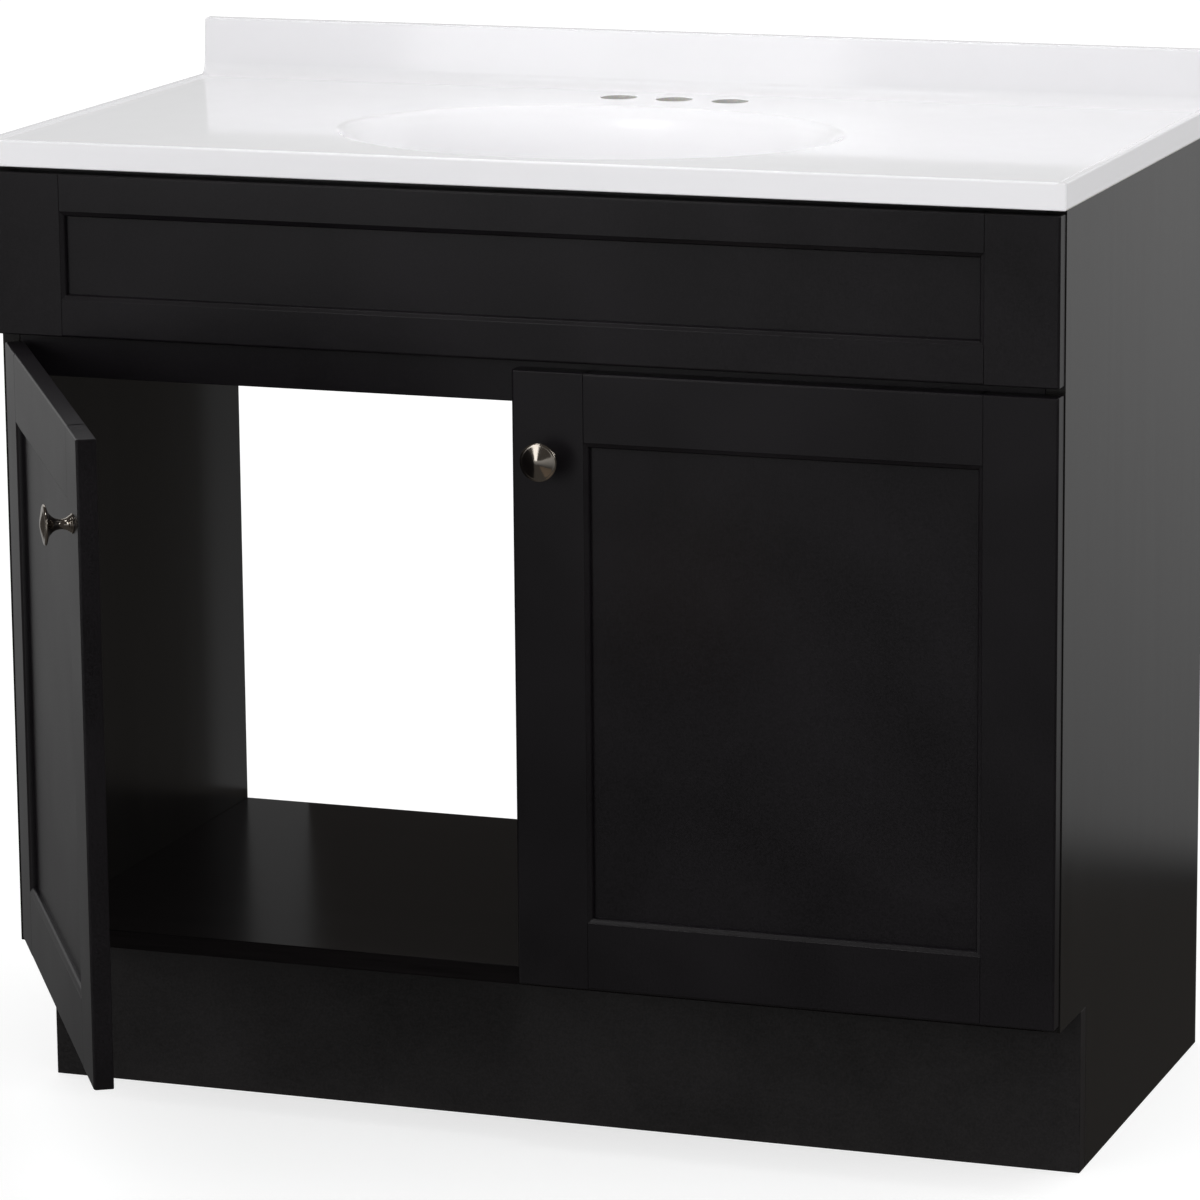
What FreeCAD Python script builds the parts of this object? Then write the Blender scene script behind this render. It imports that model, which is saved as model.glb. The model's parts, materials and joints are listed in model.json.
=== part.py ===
"""Bathroom vanity cabinet with a one-piece top and bowl, as separate solids in millimetres.

+X is to the right seen from the front, +Y points at the wall and +Z is up. The origin lies on
the floor, midway across the cabinet, in the plane of its back. The left door stands open by
LEFT_DOOR_OPEN degrees and the right door is shut.

The left half of what is symmetric is modelled shut and then mirrored. Each door hangs on
concealed cup hinges: a cranked link turns on a pin in the arm, which is fixed to the side
panel, and the door turns on a pin in the cup at the link's other end.
"""

import FreeCAD
import Part
import math
import os

# ---- driving dimensions: the cabinet ----
CABINET_WIDTH = 914.4
CABINET_DEPTH = 457.2
CABINET_HEIGHT = 803.4
BOARD = 16.0
TOE_HEIGHT = 137.0
TOE_SETBACK = 64.6
FRONT_RAIL_HEIGHT = 176.4
BACK_RAIL_HEIGHT = 100.0
BRACE_LEG = 70.0

# ---- driving dimensions: the fronts ----
FRONT_REVEAL = 0.8
MIDDLE_GAP = 2.0
DOOR_BOTTOM = 143.0
DOOR_TOP = 656.0
DOOR_GAP = 1.0
FALSE_FRONT_BOTTOM = 663.0
FALSE_FRONT_TOP = 799.0
STILE_WIDTH = 61.0
DOOR_RAIL_WIDTH = 56.5
FALSE_FRONT_RAIL_WIDTH = 31.0
STICKING = 4.5
PANEL_SETBACK = 6.0
PANEL_THICKNESS = 5.0
GROOVE_DEPTH = 8.0
GROOVE_SLACK = 0.5
BUMPER_RADIUS = 4.0
BUMPER_THICKNESS = 0.7
BUMPER_INSET = 13.0

# ---- driving dimensions: the top ----
TOP_WIDTH = 922.8
TOP_FRONT_OVERHANG = 18.0
TOP_EDGE = 22.2
LIP_WIDTH = 11.0
LIP_HEIGHT = 2.0
FIELD_THICKNESS = 14.0
UNDERSIDE_RIM = 22.0
SPLASH_HEIGHT = 49.2
SPLASH_TOP = 11.5
SPLASH_FOOT = 15.0
COVE_RADIUS = 13.0
BOWL_CENTRE_Y = -279.2
BOWL_HALF_WIDTH = 214.0
BOWL_HALF_DEPTH = 162.0
BOWL_DEPTH = 130.6
BOWL_WALL = 10.0
DRAIN_RADIUS = 22.2
DRAIN_WALL = 19.0
DRAIN_BOSS_RADIUS = 40.0
TAP_HOLE_RADIUS = 15.9
TAP_HOLE_PITCH = 50.8
TAP_HOLE_FROM_WALL = 62.0

# ---- driving dimensions: knobs ----
KNOB_BELOW_TOP = 70.5
KNOB_HEAD_RADIUS = 15.9
KNOB_NECK_RADIUS = 4.0
KNOB_FOOT_RADIUS = 7.85
KNOB_PROJECTION = 25.5
KNOB_SCREW_RADIUS = 2.0
KNOB_SCREW_GRIP = 12.0
KNOB_CROWN_FLAT = 1.0

# ---- driving dimensions: hinges, measured from the outer side face and the front edge ----
LEFT_DOOR_OPEN = 58.0
LINK_SHARE = 0.5
HINGE_INSET = 90.0
ARM_PIN_IN = 41.7
ARM_PIN_BACK = 16.5
CUP_PIN_IN = 12.0
CUP_PIN_OUT = 3.5
CUP_RADIUS = 17.5
CUP_DEPTH = 11.5
CUP_WALL = 0.8
CUP_FROM_DOOR_EDGE = 22.5
CUP_SCREW_SPACING = 45.0
CUP_SCREW_OFFSET = 9.5
WING_THICKNESS = 1.0
ARM_PIN_RADIUS = 2.0
CUP_PIN_RADIUS = 1.25
CUP_PIN_HALF_LENGTH = 12.0
PIN_CLEARANCE = 0.05
LINK_HALF_HEIGHT = 6.0
LINK_HALF_WIDTH = 2.2
ARM_HALF_HEIGHT = 8.0
ARM_CHEEK = 1.6
PLATE_SCREW_BACK = 37.0
PLATE_SCREW_SPACING = 32.0
PLATE_WING = 2.0

# ---- driving dimensions: knock-down fittings ----
DOWEL_RADIUS = 4.0
DOWEL_LENGTH = 30.0
DOWEL_IN_SIDE = 10.0
CAM_RADIUS = 7.5
CAM_DEPTH = 12.5
CAM_FROM_END = 34.0
CAM_BOLT_RADIUS = 3.0
CAM_BOLT_IN_SIDE = 11.0
WALL_SCREW_RADIUS = 2.5
WALL_SCREW_SPACING = 609.6

# ---- worked out from the driving dimensions ----
HALF = CABINET_WIDTH / 2
INNER = HALF - BOARD
FRONT = -CABINET_DEPTH
TOE_FRONT = FRONT + TOE_SETBACK
TOE_BACK = TOE_FRONT + BOARD
DECK_TOP = TOE_HEIGHT + BOARD
FRONT_RAIL_BOTTOM = CABINET_HEIGHT - FRONT_RAIL_HEIGHT
BACK_RAIL_BOTTOM = CABINET_HEIGHT - BACK_RAIL_HEIGHT
DOOR_BACK = FRONT - DOOR_GAP
DOOR_FRONT = DOOR_BACK - BOARD
FRONTS_EDGE = HALF - FRONT_REVEAL
DOOR_FREE_EDGE = MIDDLE_GAP / 2
TOP_SURFACE = CABINET_HEIGHT + TOP_EDGE
FIELD_LEVEL = TOP_SURFACE - LIP_HEIGHT
FIELD_UNDERSIDE = FIELD_LEVEL - FIELD_THICKNESS
TOP_FRONT = FRONT - TOP_FRONT_OVERHANG
BOWL_FLOOR = FIELD_LEVEL - BOWL_DEPTH
KNOB_X = DOOR_FREE_EDGE + STILE_WIDTH / 2
KNOB_Z = DOOR_TOP - KNOB_BELOW_TOP
HINGE_HEIGHTS = (DOOR_BOTTOM + HINGE_INSET, DOOR_TOP - HINGE_INSET)
DOOR_EDGE_Z = (DOOR_BOTTOM + 5.0, FRONT_RAIL_BOTTOM + 14.0)

X_AXIS = FreeCAD.Vector(1, 0, 0)
Y_AXIS = FreeCAD.Vector(0, 1, 0)
Z_AXIS = FreeCAD.Vector(0, 0, 1)


# ---- shape helpers ----
def box(x, y, z):
    """A box between the two values of each pair."""
    size = [high - low for low, high in (x, y, z)]
    return Part.makeBox(*size, FreeCAD.Vector(x[0], y[0], z[0]))


def rod(radius, start, axis, length):
    """A cylinder from a point along an axis."""
    return Part.makeCylinder(radius, length, FreeCAD.Vector(*start), axis)


def prism(outline, axis, low, high):
    """An outline of (first, second) points pushed along an axis: in XY for Z, in YZ for X."""
    place = {
        "Z": lambda p: FreeCAD.Vector(p[0], p[1], low),
        "X": lambda p: FreeCAD.Vector(low, p[0], p[1]),
    }[axis]
    wire = Part.makePolygon([place(p) for p in [*outline, outline[0]]])
    way = {"Z": Z_AXIS, "X": X_AXIS}[axis]
    return Part.Face(wire).extrude(way * (high - low))


def fused(shapes):
    """One solid from several that meet."""
    whole = shapes[0].multiFuse(shapes[1:]) if len(shapes) > 1 else shapes[0]
    return whole.removeSplitter()


def less(shape, tools):
    """A solid with others taken away."""
    for tool in tools:
        shape = shape.cut(tool)
    return shape


def mirrored(shape):
    """The same piece on the other side of the cabinet."""
    return shape.mirror(FreeCAD.Vector(0, 0, 0), X_AXIS)


def turned(shape, pivot, degrees):
    """A copy turned about an upright axis through a point in plan."""
    copy = shape.copy()
    copy.rotate(FreeCAD.Vector(pivot[0], pivot[1], 0), Z_AXIS, degrees)
    return copy


# ---- carcass ----
def side_panel():
    """The left side, notched at the foot for the toe-kick board."""
    outline = [
        (0, 0),
        (0, CABINET_HEIGHT),
        (FRONT, CABINET_HEIGHT),
        (FRONT, TOE_HEIGHT),
        (TOE_BACK, TOE_HEIGHT),
        (TOE_BACK, 0),
    ]
    return prism(outline, "X", -HALF, -INNER)


def boards():
    """The boards that run across the cabinet."""
    across = (-INNER, INNER)
    return {
        "deck_panel": box(across, (FRONT, 0), (TOE_HEIGHT, DECK_TOP)),
        "toe_kick_board": box((-HALF, HALF), (TOE_FRONT, TOE_BACK), (0, TOE_HEIGHT)),
        "rear_base_rail": box(across, (-BOARD, 0), (0, TOE_HEIGHT)),
        "front_top_rail": box(across, (FRONT, FRONT + BOARD), (FRONT_RAIL_BOTTOM, CABINET_HEIGHT)),
        "back_top_rail": box(across, (-BOARD, 0), (BACK_RAIL_BOTTOM, CABINET_HEIGHT)),
    }


def wall_screw_holes():
    """Two clearance holes through the back rail for the screws into the wall."""
    level = (BACK_RAIL_BOTTOM + CABINET_HEIGHT) / 2
    return [
        rod(WALL_SCREW_RADIUS, (x, -BOARD, level), Y_AXIS, BOARD)
        for x in (-WALL_SCREW_SPACING / 2, WALL_SCREW_SPACING / 2)
    ]


def corner_brace(y_corner, toward):
    """A left-hand triangular glue block in an upper corner; toward is +1 or -1 along Y."""
    outline = [
        (-INNER, y_corner),
        (-INNER + BRACE_LEG, y_corner),
        (-INNER, y_corner + toward * BRACE_LEG),
    ]
    return prism(outline, "Z", CABINET_HEIGHT - BOARD, CABINET_HEIGHT)


def cam_fitting(y, z, axis, mouth):
    """A cam disc and its bolt at the left end of a board.

    axis is the disc's axis, +1 or -1 times Y or Z, pointing into the board from its hidden
    face, and mouth is that face's place along the axis.
    """
    x = -INNER + CAM_FROM_END
    start = (x, mouth, z) if axis.y else (x, y, mouth)
    disc = rod(CAM_RADIUS, start, axis, CAM_DEPTH)
    bolt_length = CAM_BOLT_IN_SIDE + CAM_FROM_END
    bolt = rod(CAM_BOLT_RADIUS, (-INNER - CAM_BOLT_IN_SIDE, y, z), X_AXIS, bolt_length)
    return disc.cut(bolt), bolt


def carcass_fittings():
    """The left-hand cams, cam bolts and dowels that hold the boards to the side."""
    deck_mid = TOE_HEIGHT + BOARD / 2
    front_mid = FRONT + BOARD / 2
    back_mid = -BOARD / 2
    cams = [
        cam_fitting(FRONT + 60.0, deck_mid, Z_AXIS, TOE_HEIGHT),
        cam_fitting(-60.0, deck_mid, Z_AXIS, TOE_HEIGHT),
        cam_fitting(front_mid, CABINET_HEIGHT - 50.0, -Y_AXIS, FRONT + BOARD),
        cam_fitting(back_mid, CABINET_HEIGHT - 70.0, Y_AXIS, -BOARD),
        cam_fitting(back_mid, 50.0, Y_AXIS, -BOARD),
    ]
    places = [
        (FRONT + 140.0, deck_mid),
        (-140.0, deck_mid),
        (front_mid, CABINET_HEIGHT - 130.0),
        (back_mid, CABINET_HEIGHT - 35.0),
        (back_mid, 100.0),
    ]
    start_x = -INNER - DOWEL_IN_SIDE
    dowels = [rod(DOWEL_RADIUS, (start_x, y, z), X_AXIS, DOWEL_LENGTH) for y, z in places]
    for z in (40.0, 100.0):
        start = (-HALF + BOARD / 2, TOE_BACK - DOWEL_IN_SIDE, z)
        dowels.append(rod(DOWEL_RADIUS, start, Y_AXIS, DOWEL_LENGTH))
    return [c for c, _ in cams], [b for _, b in cams], dowels


def carcass():
    """Every fixed wooden piece of the cabinet box with its fittings."""
    cams, bolts, dowels = carcass_fittings()
    both = {
        "carcass_cams": cams + [mirrored(s) for s in cams],
        "carcass_cam_bolts": bolts + [mirrored(s) for s in bolts],
        "carcass_dowels": dowels + [mirrored(s) for s in dowels],
    }
    tools = [s for group in both.values() for s in group]
    nodes = {name: less(board, tools) for name, board in boards().items()}
    nodes["back_top_rail"] = less(nodes["back_top_rail"], wall_screw_holes())
    side = less(side_panel(), tools)
    nodes["left_side_panel"] = side
    nodes["right_side_panel"] = mirrored(side)
    for end, y_corner, toward in (("front", FRONT + BOARD, 1), ("back", -BOARD, -1)):
        brace = corner_brace(y_corner, toward)
        nodes[f"left_{end}_corner_block"] = brace
        nodes[f"right_{end}_corner_block"] = mirrored(brace)
    nodes.update({name: Part.makeCompound(group) for name, group in both.items()})
    return nodes


# ---- frame-and-panel fronts ----
def frame_profile(width):
    """The section of a stile or rail: across from its outer edge, and back from its face."""
    inner = width + STICKING
    panel_back = PANEL_SETBACK + PANEL_THICKNESS
    return [
        (0, 0),
        (width, 0),
        (inner, STICKING),
        (inner, PANEL_SETBACK),
        (inner - GROOVE_DEPTH, PANEL_SETBACK),
        (inner - GROOVE_DEPTH, panel_back),
        (inner, panel_back),
        (inner, BOARD),
        (0, BOARD),
    ]


def framed_front(x, z, face, rail_width):
    """Two stiles, two rails and a panel, with their face in the plane y = face."""
    (left, right), (bottom, top) = x, z
    stile_inner = STILE_WIDTH + STICKING
    tongue = stile_inner - GROOVE_DEPTH
    stile = frame_profile(STILE_WIDTH)
    rail = frame_profile(rail_width)
    left_stile = prism([(left + a, face + b) for a, b in stile], "Z", bottom, top)
    right_stile = prism([(right - a, face + b) for a, b in stile], "Z", bottom, top)
    stiles = [left_stile, right_stile]
    ends = (left + tongue, right - tongue)
    bottom_rail = prism([(face + b, bottom + a) for a, b in rail], "X", *ends)
    top_rail = prism([(face + b, top - a) for a, b in rail], "X", *ends)
    rail_tongue = rail_width + STICKING - GROOVE_DEPTH
    panel = box(
        (ends[0] + GROOVE_SLACK, ends[1] - GROOVE_SLACK),
        (face + PANEL_SETBACK, face + PANEL_SETBACK + PANEL_THICKNESS),
        (bottom + rail_tongue + GROOVE_SLACK, top - rail_tongue - GROOVE_SLACK),
    )
    return {
        "left_stile": left_stile,
        "right_stile": right_stile,
        "bottom_rail": less(bottom_rail, stiles),
        "top_rail": less(top_rail, stiles),
        "panel": panel,
    }


def false_front():
    """The fixed front above the doors, screwed on from behind the front rail."""
    pieces = framed_front(
        (-FRONTS_EDGE, FRONTS_EDGE),
        (FALSE_FRONT_BOTTOM, FALSE_FRONT_TOP),
        FRONT - BOARD,
        FALSE_FRONT_RAIL_WIDTH,
    )
    screws = []
    for x in (-FRONTS_EDGE + 2 * STILE_WIDTH / 3, FRONTS_EDGE - 2 * STILE_WIDTH / 3):
        for z in (FALSE_FRONT_BOTTOM + 30.0, FALSE_FRONT_TOP - 30.0):
            head = rod(4.0, (x, FRONT + BOARD, z), Y_AXIS, 2.5)
            shank = rod(2.0, (x, FRONT + BOARD, z), -Y_AXIS, BOARD + 11.0)
            screws.append(head.fuse(shank))
    for name in ("left_stile", "right_stile"):
        pieces[name] = less(pieces[name], screws)
    nodes = {f"false_front_{name}": shape for name, shape in pieces.items()}
    nodes["false_front_screws"] = Part.makeCompound(screws)
    return nodes


# ---- knobs ----
def knob():
    """A round trumpet knob on the left door, shut: beaded foot, waisted neck and domed head.

    The section is drawn as (radius, distance out from the door), and has the screw's bore.
    """

    def points(section):
        return [FreeCAD.Vector(radius, -out, 0) for radius, out in section]

    foot = [(0, KNOB_SCREW_GRIP), (KNOB_SCREW_RADIUS, KNOB_SCREW_GRIP), (KNOB_SCREW_RADIUS, 0)]
    foot += [(KNOB_FOOT_RADIUS, 0), (KNOB_FOOT_RADIUS, 1.2), (6.9, 1.7), (6.9, 2.2), (6.2, 2.7)]
    waist = [(6.2, 2.7), (4.6, 5.2), (KNOB_NECK_RADIUS, 8.5), (4.7, 13.0), (8.0, 17.2), (14.8, 20.2)]
    rim = [(14.8, 20.2), (KNOB_HEAD_RADIUS, 20.9), (KNOB_HEAD_RADIUS, 22.2), (14.9, 22.9)]
    crown = [(14.9, 22.9), (7.8, KNOB_PROJECTION - 0.66), (KNOB_CROWN_FLAT, KNOB_PROJECTION)]
    core = [(KNOB_CROWN_FLAT, KNOB_PROJECTION), (0, KNOB_PROJECTION), (0, KNOB_SCREW_GRIP)]
    neck = Part.BSplineCurve()
    neck.interpolate(points(waist))
    edges = [
        *Part.makePolygon(points(foot)).Edges,
        neck.toShape(),
        *Part.makePolygon(points(rim)).Edges,
        Part.Arc(*points(crown)).toShape(),
        *Part.makePolygon(points(core)).Edges,
    ]
    solid = Part.Face(Part.Wire(edges)).revolve(FreeCAD.Vector(0, 0, 0), Y_AXIS, 360)
    solid.translate(FreeCAD.Vector(-KNOB_X, DOOR_FRONT, KNOB_Z))
    return solid


def knob_screw():
    """The machine screw through the stile into the knob, with its broad head inside."""
    head = rod(4.5, (-KNOB_X, DOOR_BACK, KNOB_Z), Y_AXIS, 2.2)
    length = BOARD + KNOB_SCREW_GRIP
    shank = rod(KNOB_SCREW_RADIUS, (-KNOB_X, DOOR_BACK, KNOB_Z), -Y_AXIS, length)
    return head.fuse(shank)


# ---- hinges, at the left side, shut ----
def hinge_x(distance):
    """A distance in from the left outer face, as a place along X."""
    return -HALF + distance


def hinge_y(distance):
    """A distance back from the cabinet's front edge, as a place along Y."""
    return FRONT + distance


ARM_PIN = (hinge_x(ARM_PIN_IN), hinge_y(ARM_PIN_BACK))
CUP_PIN = (hinge_x(CUP_PIN_IN), hinge_y(-CUP_PIN_OUT))
CUP_CENTRE_X = -FRONTS_EDGE + CUP_FROM_DOOR_EDGE


def bar(start, end, half_width, low, high):
    """An upright-sided flat bar with round ends between two points in plan."""
    dx, dy = end[0] - start[0], end[1] - start[1]
    length = math.hypot(dx, dy)
    across = (-dy / length * half_width, dx / length * half_width)
    corners = [
        (start[0] + across[0], start[1] + across[1]),
        (end[0] + across[0], end[1] + across[1]),
        (end[0] - across[0], end[1] - across[1]),
        (start[0] - across[0], start[1] - across[1]),
    ]
    ends = [rod(half_width, (*p, low), Z_AXIS, high - low) for p in (start, end)]
    return fused([prism(corners, "Z", low, high), *ends])


def hinge_link(level):
    """The cranked link: its bend passes round the door's edge when the door is wide open."""
    low, high = level - LINK_HALF_HEIGHT, level + LINK_HALF_HEIGHT
    bend = [(4.5, -5.2), (12.0, -5.2), (17.5, 0.0), (21.0, 7.0)]
    points = [CUP_PIN, *((CUP_PIN[0] + x, CUP_PIN[1] + y) for x, y in bend), ARM_PIN]
    bars = [bar(a, b, LINK_HALF_WIDTH, low, high) for a, b in zip(points, points[1:])]
    eyes = [
        rod(CUP_PIN_RADIUS + 1.6, (*CUP_PIN, low), Z_AXIS, high - low),
        rod(ARM_PIN_RADIUS + 2.0, (*ARM_PIN, low), Z_AXIS, high - low),
    ]
    bores = [
        rod(CUP_PIN_RADIUS + PIN_CLEARANCE, (*CUP_PIN, low), Z_AXIS, high - low),
        rod(ARM_PIN_RADIUS + PIN_CLEARANCE, (*ARM_PIN, low), Z_AXIS, high - low),
    ]
    return less(fused([*bars, *eyes]), bores)


def arm_pin(level):
    """The pin through the arm's two cheeks."""
    start = (*ARM_PIN, level - ARM_HALF_HEIGHT)
    return rod(ARM_PIN_RADIUS, start, Z_AXIS, 2 * ARM_HALF_HEIGHT)


def hinge_arm(level):
    """The arm: a solid rear half, and two cheeks that hold the pin in front."""
    z = (level - ARM_HALF_HEIGHT, level + ARM_HALF_HEIGHT)
    root = box((hinge_x(28), hinge_x(40)), (hinge_y(24), hinge_y(64)), z)
    cheek_x = (hinge_x(28), hinge_x(ARM_PIN_IN + 4.5))
    cheek_y = (hinge_y(ARM_PIN_BACK - 4.5), hinge_y(26))
    cheeks = [
        box(cheek_x, cheek_y, (z[0], z[0] + ARM_CHEEK)),
        box(cheek_x, cheek_y, (z[1] - ARM_CHEEK, z[1])),
    ]
    return less(fused([root, *cheeks]), [arm_pin(level)])


def plate_screws(level):
    """The two screws that hold the mounting plate to the side panel."""
    screws = []
    for z in (level - PLATE_SCREW_SPACING / 2, level + PLATE_SCREW_SPACING / 2):
        face = hinge_x(BOARD + PLATE_WING)
        start = (face, hinge_y(PLATE_SCREW_BACK), z)
        head = rod(3.6, start, X_AXIS, 2.0)
        shank = rod(1.8, start, -X_AXIS, PLATE_WING + 12.0)
        screws.append(head.fuse(shank))
    return screws


def hinge_plate(level):
    """The mounting plate: two screw wings and the block that the arm sits on."""
    wing_z = PLATE_SCREW_SPACING / 2 + 6.0
    wings = box(
        (hinge_x(BOARD), hinge_x(BOARD + PLATE_WING)),
        (hinge_y(PLATE_SCREW_BACK - 8), hinge_y(PLATE_SCREW_BACK + 8)),
        (level - wing_z, level + wing_z),
    )
    block = box(
        (hinge_x(BOARD), hinge_x(28)),
        (hinge_y(28), hinge_y(62)),
        (level - ARM_HALF_HEIGHT, level + ARM_HALF_HEIGHT),
    )
    return less(fused([wings, block]), plate_screws(level))


def cup_pin(level):
    """The pin across the cup, held in its wall."""
    start = (*CUP_PIN, level - CUP_PIN_HALF_LENGTH)
    return rod(CUP_PIN_RADIUS, start, Z_AXIS, 2 * CUP_PIN_HALF_LENGTH)


def cup_body(level, radius, depth):
    """A round of the cup's kind, sunk in the door's back."""
    return rod(radius, (CUP_CENTRE_X, DOOR_BACK, level), -Y_AXIS, depth)


def cup_screws(level):
    """The two screws through the cup's wings into the stile."""
    screws = []
    for z in (level - CUP_SCREW_SPACING / 2, level + CUP_SCREW_SPACING / 2):
        start = (CUP_CENTRE_X + CUP_SCREW_OFFSET, DOOR_BACK + WING_THICKNESS, z)
        head = rod(3.4, start, Y_AXIS, 1.0)
        shank = rod(1.75, start, -Y_AXIS, WING_THICKNESS + 11.0)
        screws.append(head.fuse(shank))
    return screws


def hinge_cup(level):
    """The cup, open towards the cabinet, with a wing above and below it."""
    shell = cup_body(level, CUP_RADIUS, CUP_DEPTH)
    hollow = cup_body(level, CUP_RADIUS - CUP_WALL, CUP_DEPTH - CUP_WALL)
    wing_x = CUP_CENTRE_X + CUP_SCREW_OFFSET
    wing_z = CUP_SCREW_SPACING / 2 + 6.0
    wings = box(
        (wing_x - 7.0, wing_x + 7.0),
        (DOOR_BACK, DOOR_BACK + WING_THICKNESS),
        (level - wing_z, level + wing_z),
    )
    mouth = rod(CUP_RADIUS - CUP_WALL, (CUP_CENTRE_X, DOOR_BACK, level), Y_AXIS, WING_THICKNESS)
    cup = fused([shell.cut(hollow), wings.cut(mouth)])
    return less(cup, [cup_pin(level), *cup_screws(level)])


def bumpers():
    """Two soft dots at the left door's free corners, just clear of the cabinet."""
    start_y = DOOR_BACK
    return [
        rod(BUMPER_RADIUS, (-BUMPER_INSET, start_y, z), Y_AXIS, BUMPER_THICKNESS)
        for z in DOOR_EDGE_Z
    ]


# ---- doors ----
def hung_door():
    """The left door, shut: {body: {piece name: list of solids}} for its hinges and itself."""
    pieces = framed_front(
        (-FRONTS_EDGE, -DOOR_FREE_EDGE), (DOOR_BOTTOM, DOOR_TOP), DOOR_FRONT, DOOR_RAIL_WIDTH
    )
    pieces["hinge_stile"] = pieces.pop("left_stile")
    pieces["knob_stile"] = pieces.pop("right_stile")
    each = {
        "hinge_cups": [hinge_cup(z) for z in HINGE_HEIGHTS],
        "hinge_cup_pins": [cup_pin(z) for z in HINGE_HEIGHTS],
        "hinge_cup_screws": [s for z in HINGE_HEIGHTS for s in cup_screws(z)],
        "bumpers": bumpers(),
        "knob_screw": [knob_screw()],
    }
    pockets = [cup_body(z, CUP_RADIUS, CUP_DEPTH) for z in HINGE_HEIGHTS]
    pieces["hinge_stile"] = less(pieces["hinge_stile"], pockets + each["hinge_cup_screws"])
    pieces["knob_stile"] = less(pieces["knob_stile"], each["knob_screw"])
    door = {name: [shape] for name, shape in pieces.items()}
    door["knob"] = [knob()]
    door.update(each)
    return {
        "door": door,
        "link": {"hinge_links": [hinge_link(z) for z in HINGE_HEIGHTS]},
        "cabinet": {
            "hinge_plates": [hinge_plate(z) for z in HINGE_HEIGHTS],
            "hinge_arms": [hinge_arm(z) for z in HINGE_HEIGHTS],
            "hinge_arm_pins": [arm_pin(z) for z in HINGE_HEIGHTS],
            "hinge_plate_screws": [s for z in HINGE_HEIGHTS for s in plate_screws(z)],
        },
    }


def opened(body, shape, degrees):
    """A left-hand piece moved from shut to where it lies with the door open by some degrees.

    The link swings outwards by LINK_SHARE of that angle, and carries the cup pin with it.
    """
    swing = LINK_SHARE * degrees
    if body == "link":
        return turned(shape, ARM_PIN, swing)
    if body == "door":
        return turned(turned(shape, CUP_PIN, -degrees - swing), ARM_PIN, swing)
    return shape


def doors():
    """Both doors with their hinges: the left one ajar, the right one mirrored and shut."""
    nodes = {}
    for body, pieces in hung_door().items():
        for name, solids in pieces.items():
            label = f"door_{name}" if body == "door" and "hinge_c" not in name else name
            left = [opened(body, s, LEFT_DOOR_OPEN) for s in solids]
            right = [mirrored(s) for s in solids]
            for side, group in (("left", left), ("right", right)):
                whole = group[0] if len(group) == 1 else Part.makeCompound(group)
                nodes[f"{side}_{label}"] = whole
    return nodes


# ---- top ----
def oval(level, half_width, half_depth):
    """A level oval wire round the bowl's centre."""
    centre = FreeCAD.Vector(0, BOWL_CENTRE_Y, level)
    return Part.Wire(Part.Ellipse(centre, half_width, half_depth).toShape())


def bowl_form(spread, sections):
    """A closed form through ovals; sections gives (depth share, size share) from rim to floor."""
    wires = []
    for depth, share in sections:
        half_width = BOWL_HALF_WIDTH * share + spread
        half_depth = BOWL_HALF_DEPTH * share + spread
        wires.append(oval(FIELD_LEVEL - depth * BOWL_DEPTH, half_width, half_depth))
    return Part.makeLoft(wires, True)


def top_slab():
    """The slab with its raised drip edge, hollowed underneath inside a rim."""
    half = TOP_WIDTH / 2
    slab = box((-half, half), (TOP_FRONT, 0), (CABINET_HEIGHT, TOP_SURFACE))
    field = box(
        (-half + LIP_WIDTH, half - LIP_WIDTH),
        (TOP_FRONT + LIP_WIDTH, -SPLASH_FOOT / 2),
        (FIELD_LEVEL, TOP_SURFACE),
    )
    relief = box(
        (-half + UNDERSIDE_RIM, half - UNDERSIDE_RIM),
        (TOP_FRONT + UNDERSIDE_RIM, -UNDERSIDE_RIM),
        (CABINET_HEIGHT, FIELD_UNDERSIDE),
    )
    return less(slab, [field, relief])


def splash():
    """The backsplash, drafted a little, with a hollow cove at its foot."""
    top = TOP_SURFACE + SPLASH_HEIGHT
    foot = FreeCAD.Vector(0, -SPLASH_FOOT, FIELD_LEVEL + COVE_RADIUS)
    toe = FreeCAD.Vector(0, -SPLASH_FOOT - COVE_RADIUS, FIELD_LEVEL)
    middle = FreeCAD.Vector(
        0,
        -SPLASH_FOOT - COVE_RADIUS * (1 - math.sqrt(0.5)),
        FIELD_LEVEL + COVE_RADIUS * (1 - math.sqrt(0.5)),
    )
    line = [
        toe,
        FreeCAD.Vector(0, toe.y, FIELD_LEVEL - 1),
        FreeCAD.Vector(0, 0, FIELD_LEVEL - 1),
        FreeCAD.Vector(0, 0, top),
        FreeCAD.Vector(0, -SPLASH_TOP, top),
        foot,
    ]
    edges = [*Part.makePolygon(line).Edges, Part.Arc(foot, middle, toe).toShape()]
    section = Part.Face(Part.Wire(edges))
    section.translate(FreeCAD.Vector(-TOP_WIDTH / 2, 0, 0))
    return section.extrude(X_AXIS * TOP_WIDTH)


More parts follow.
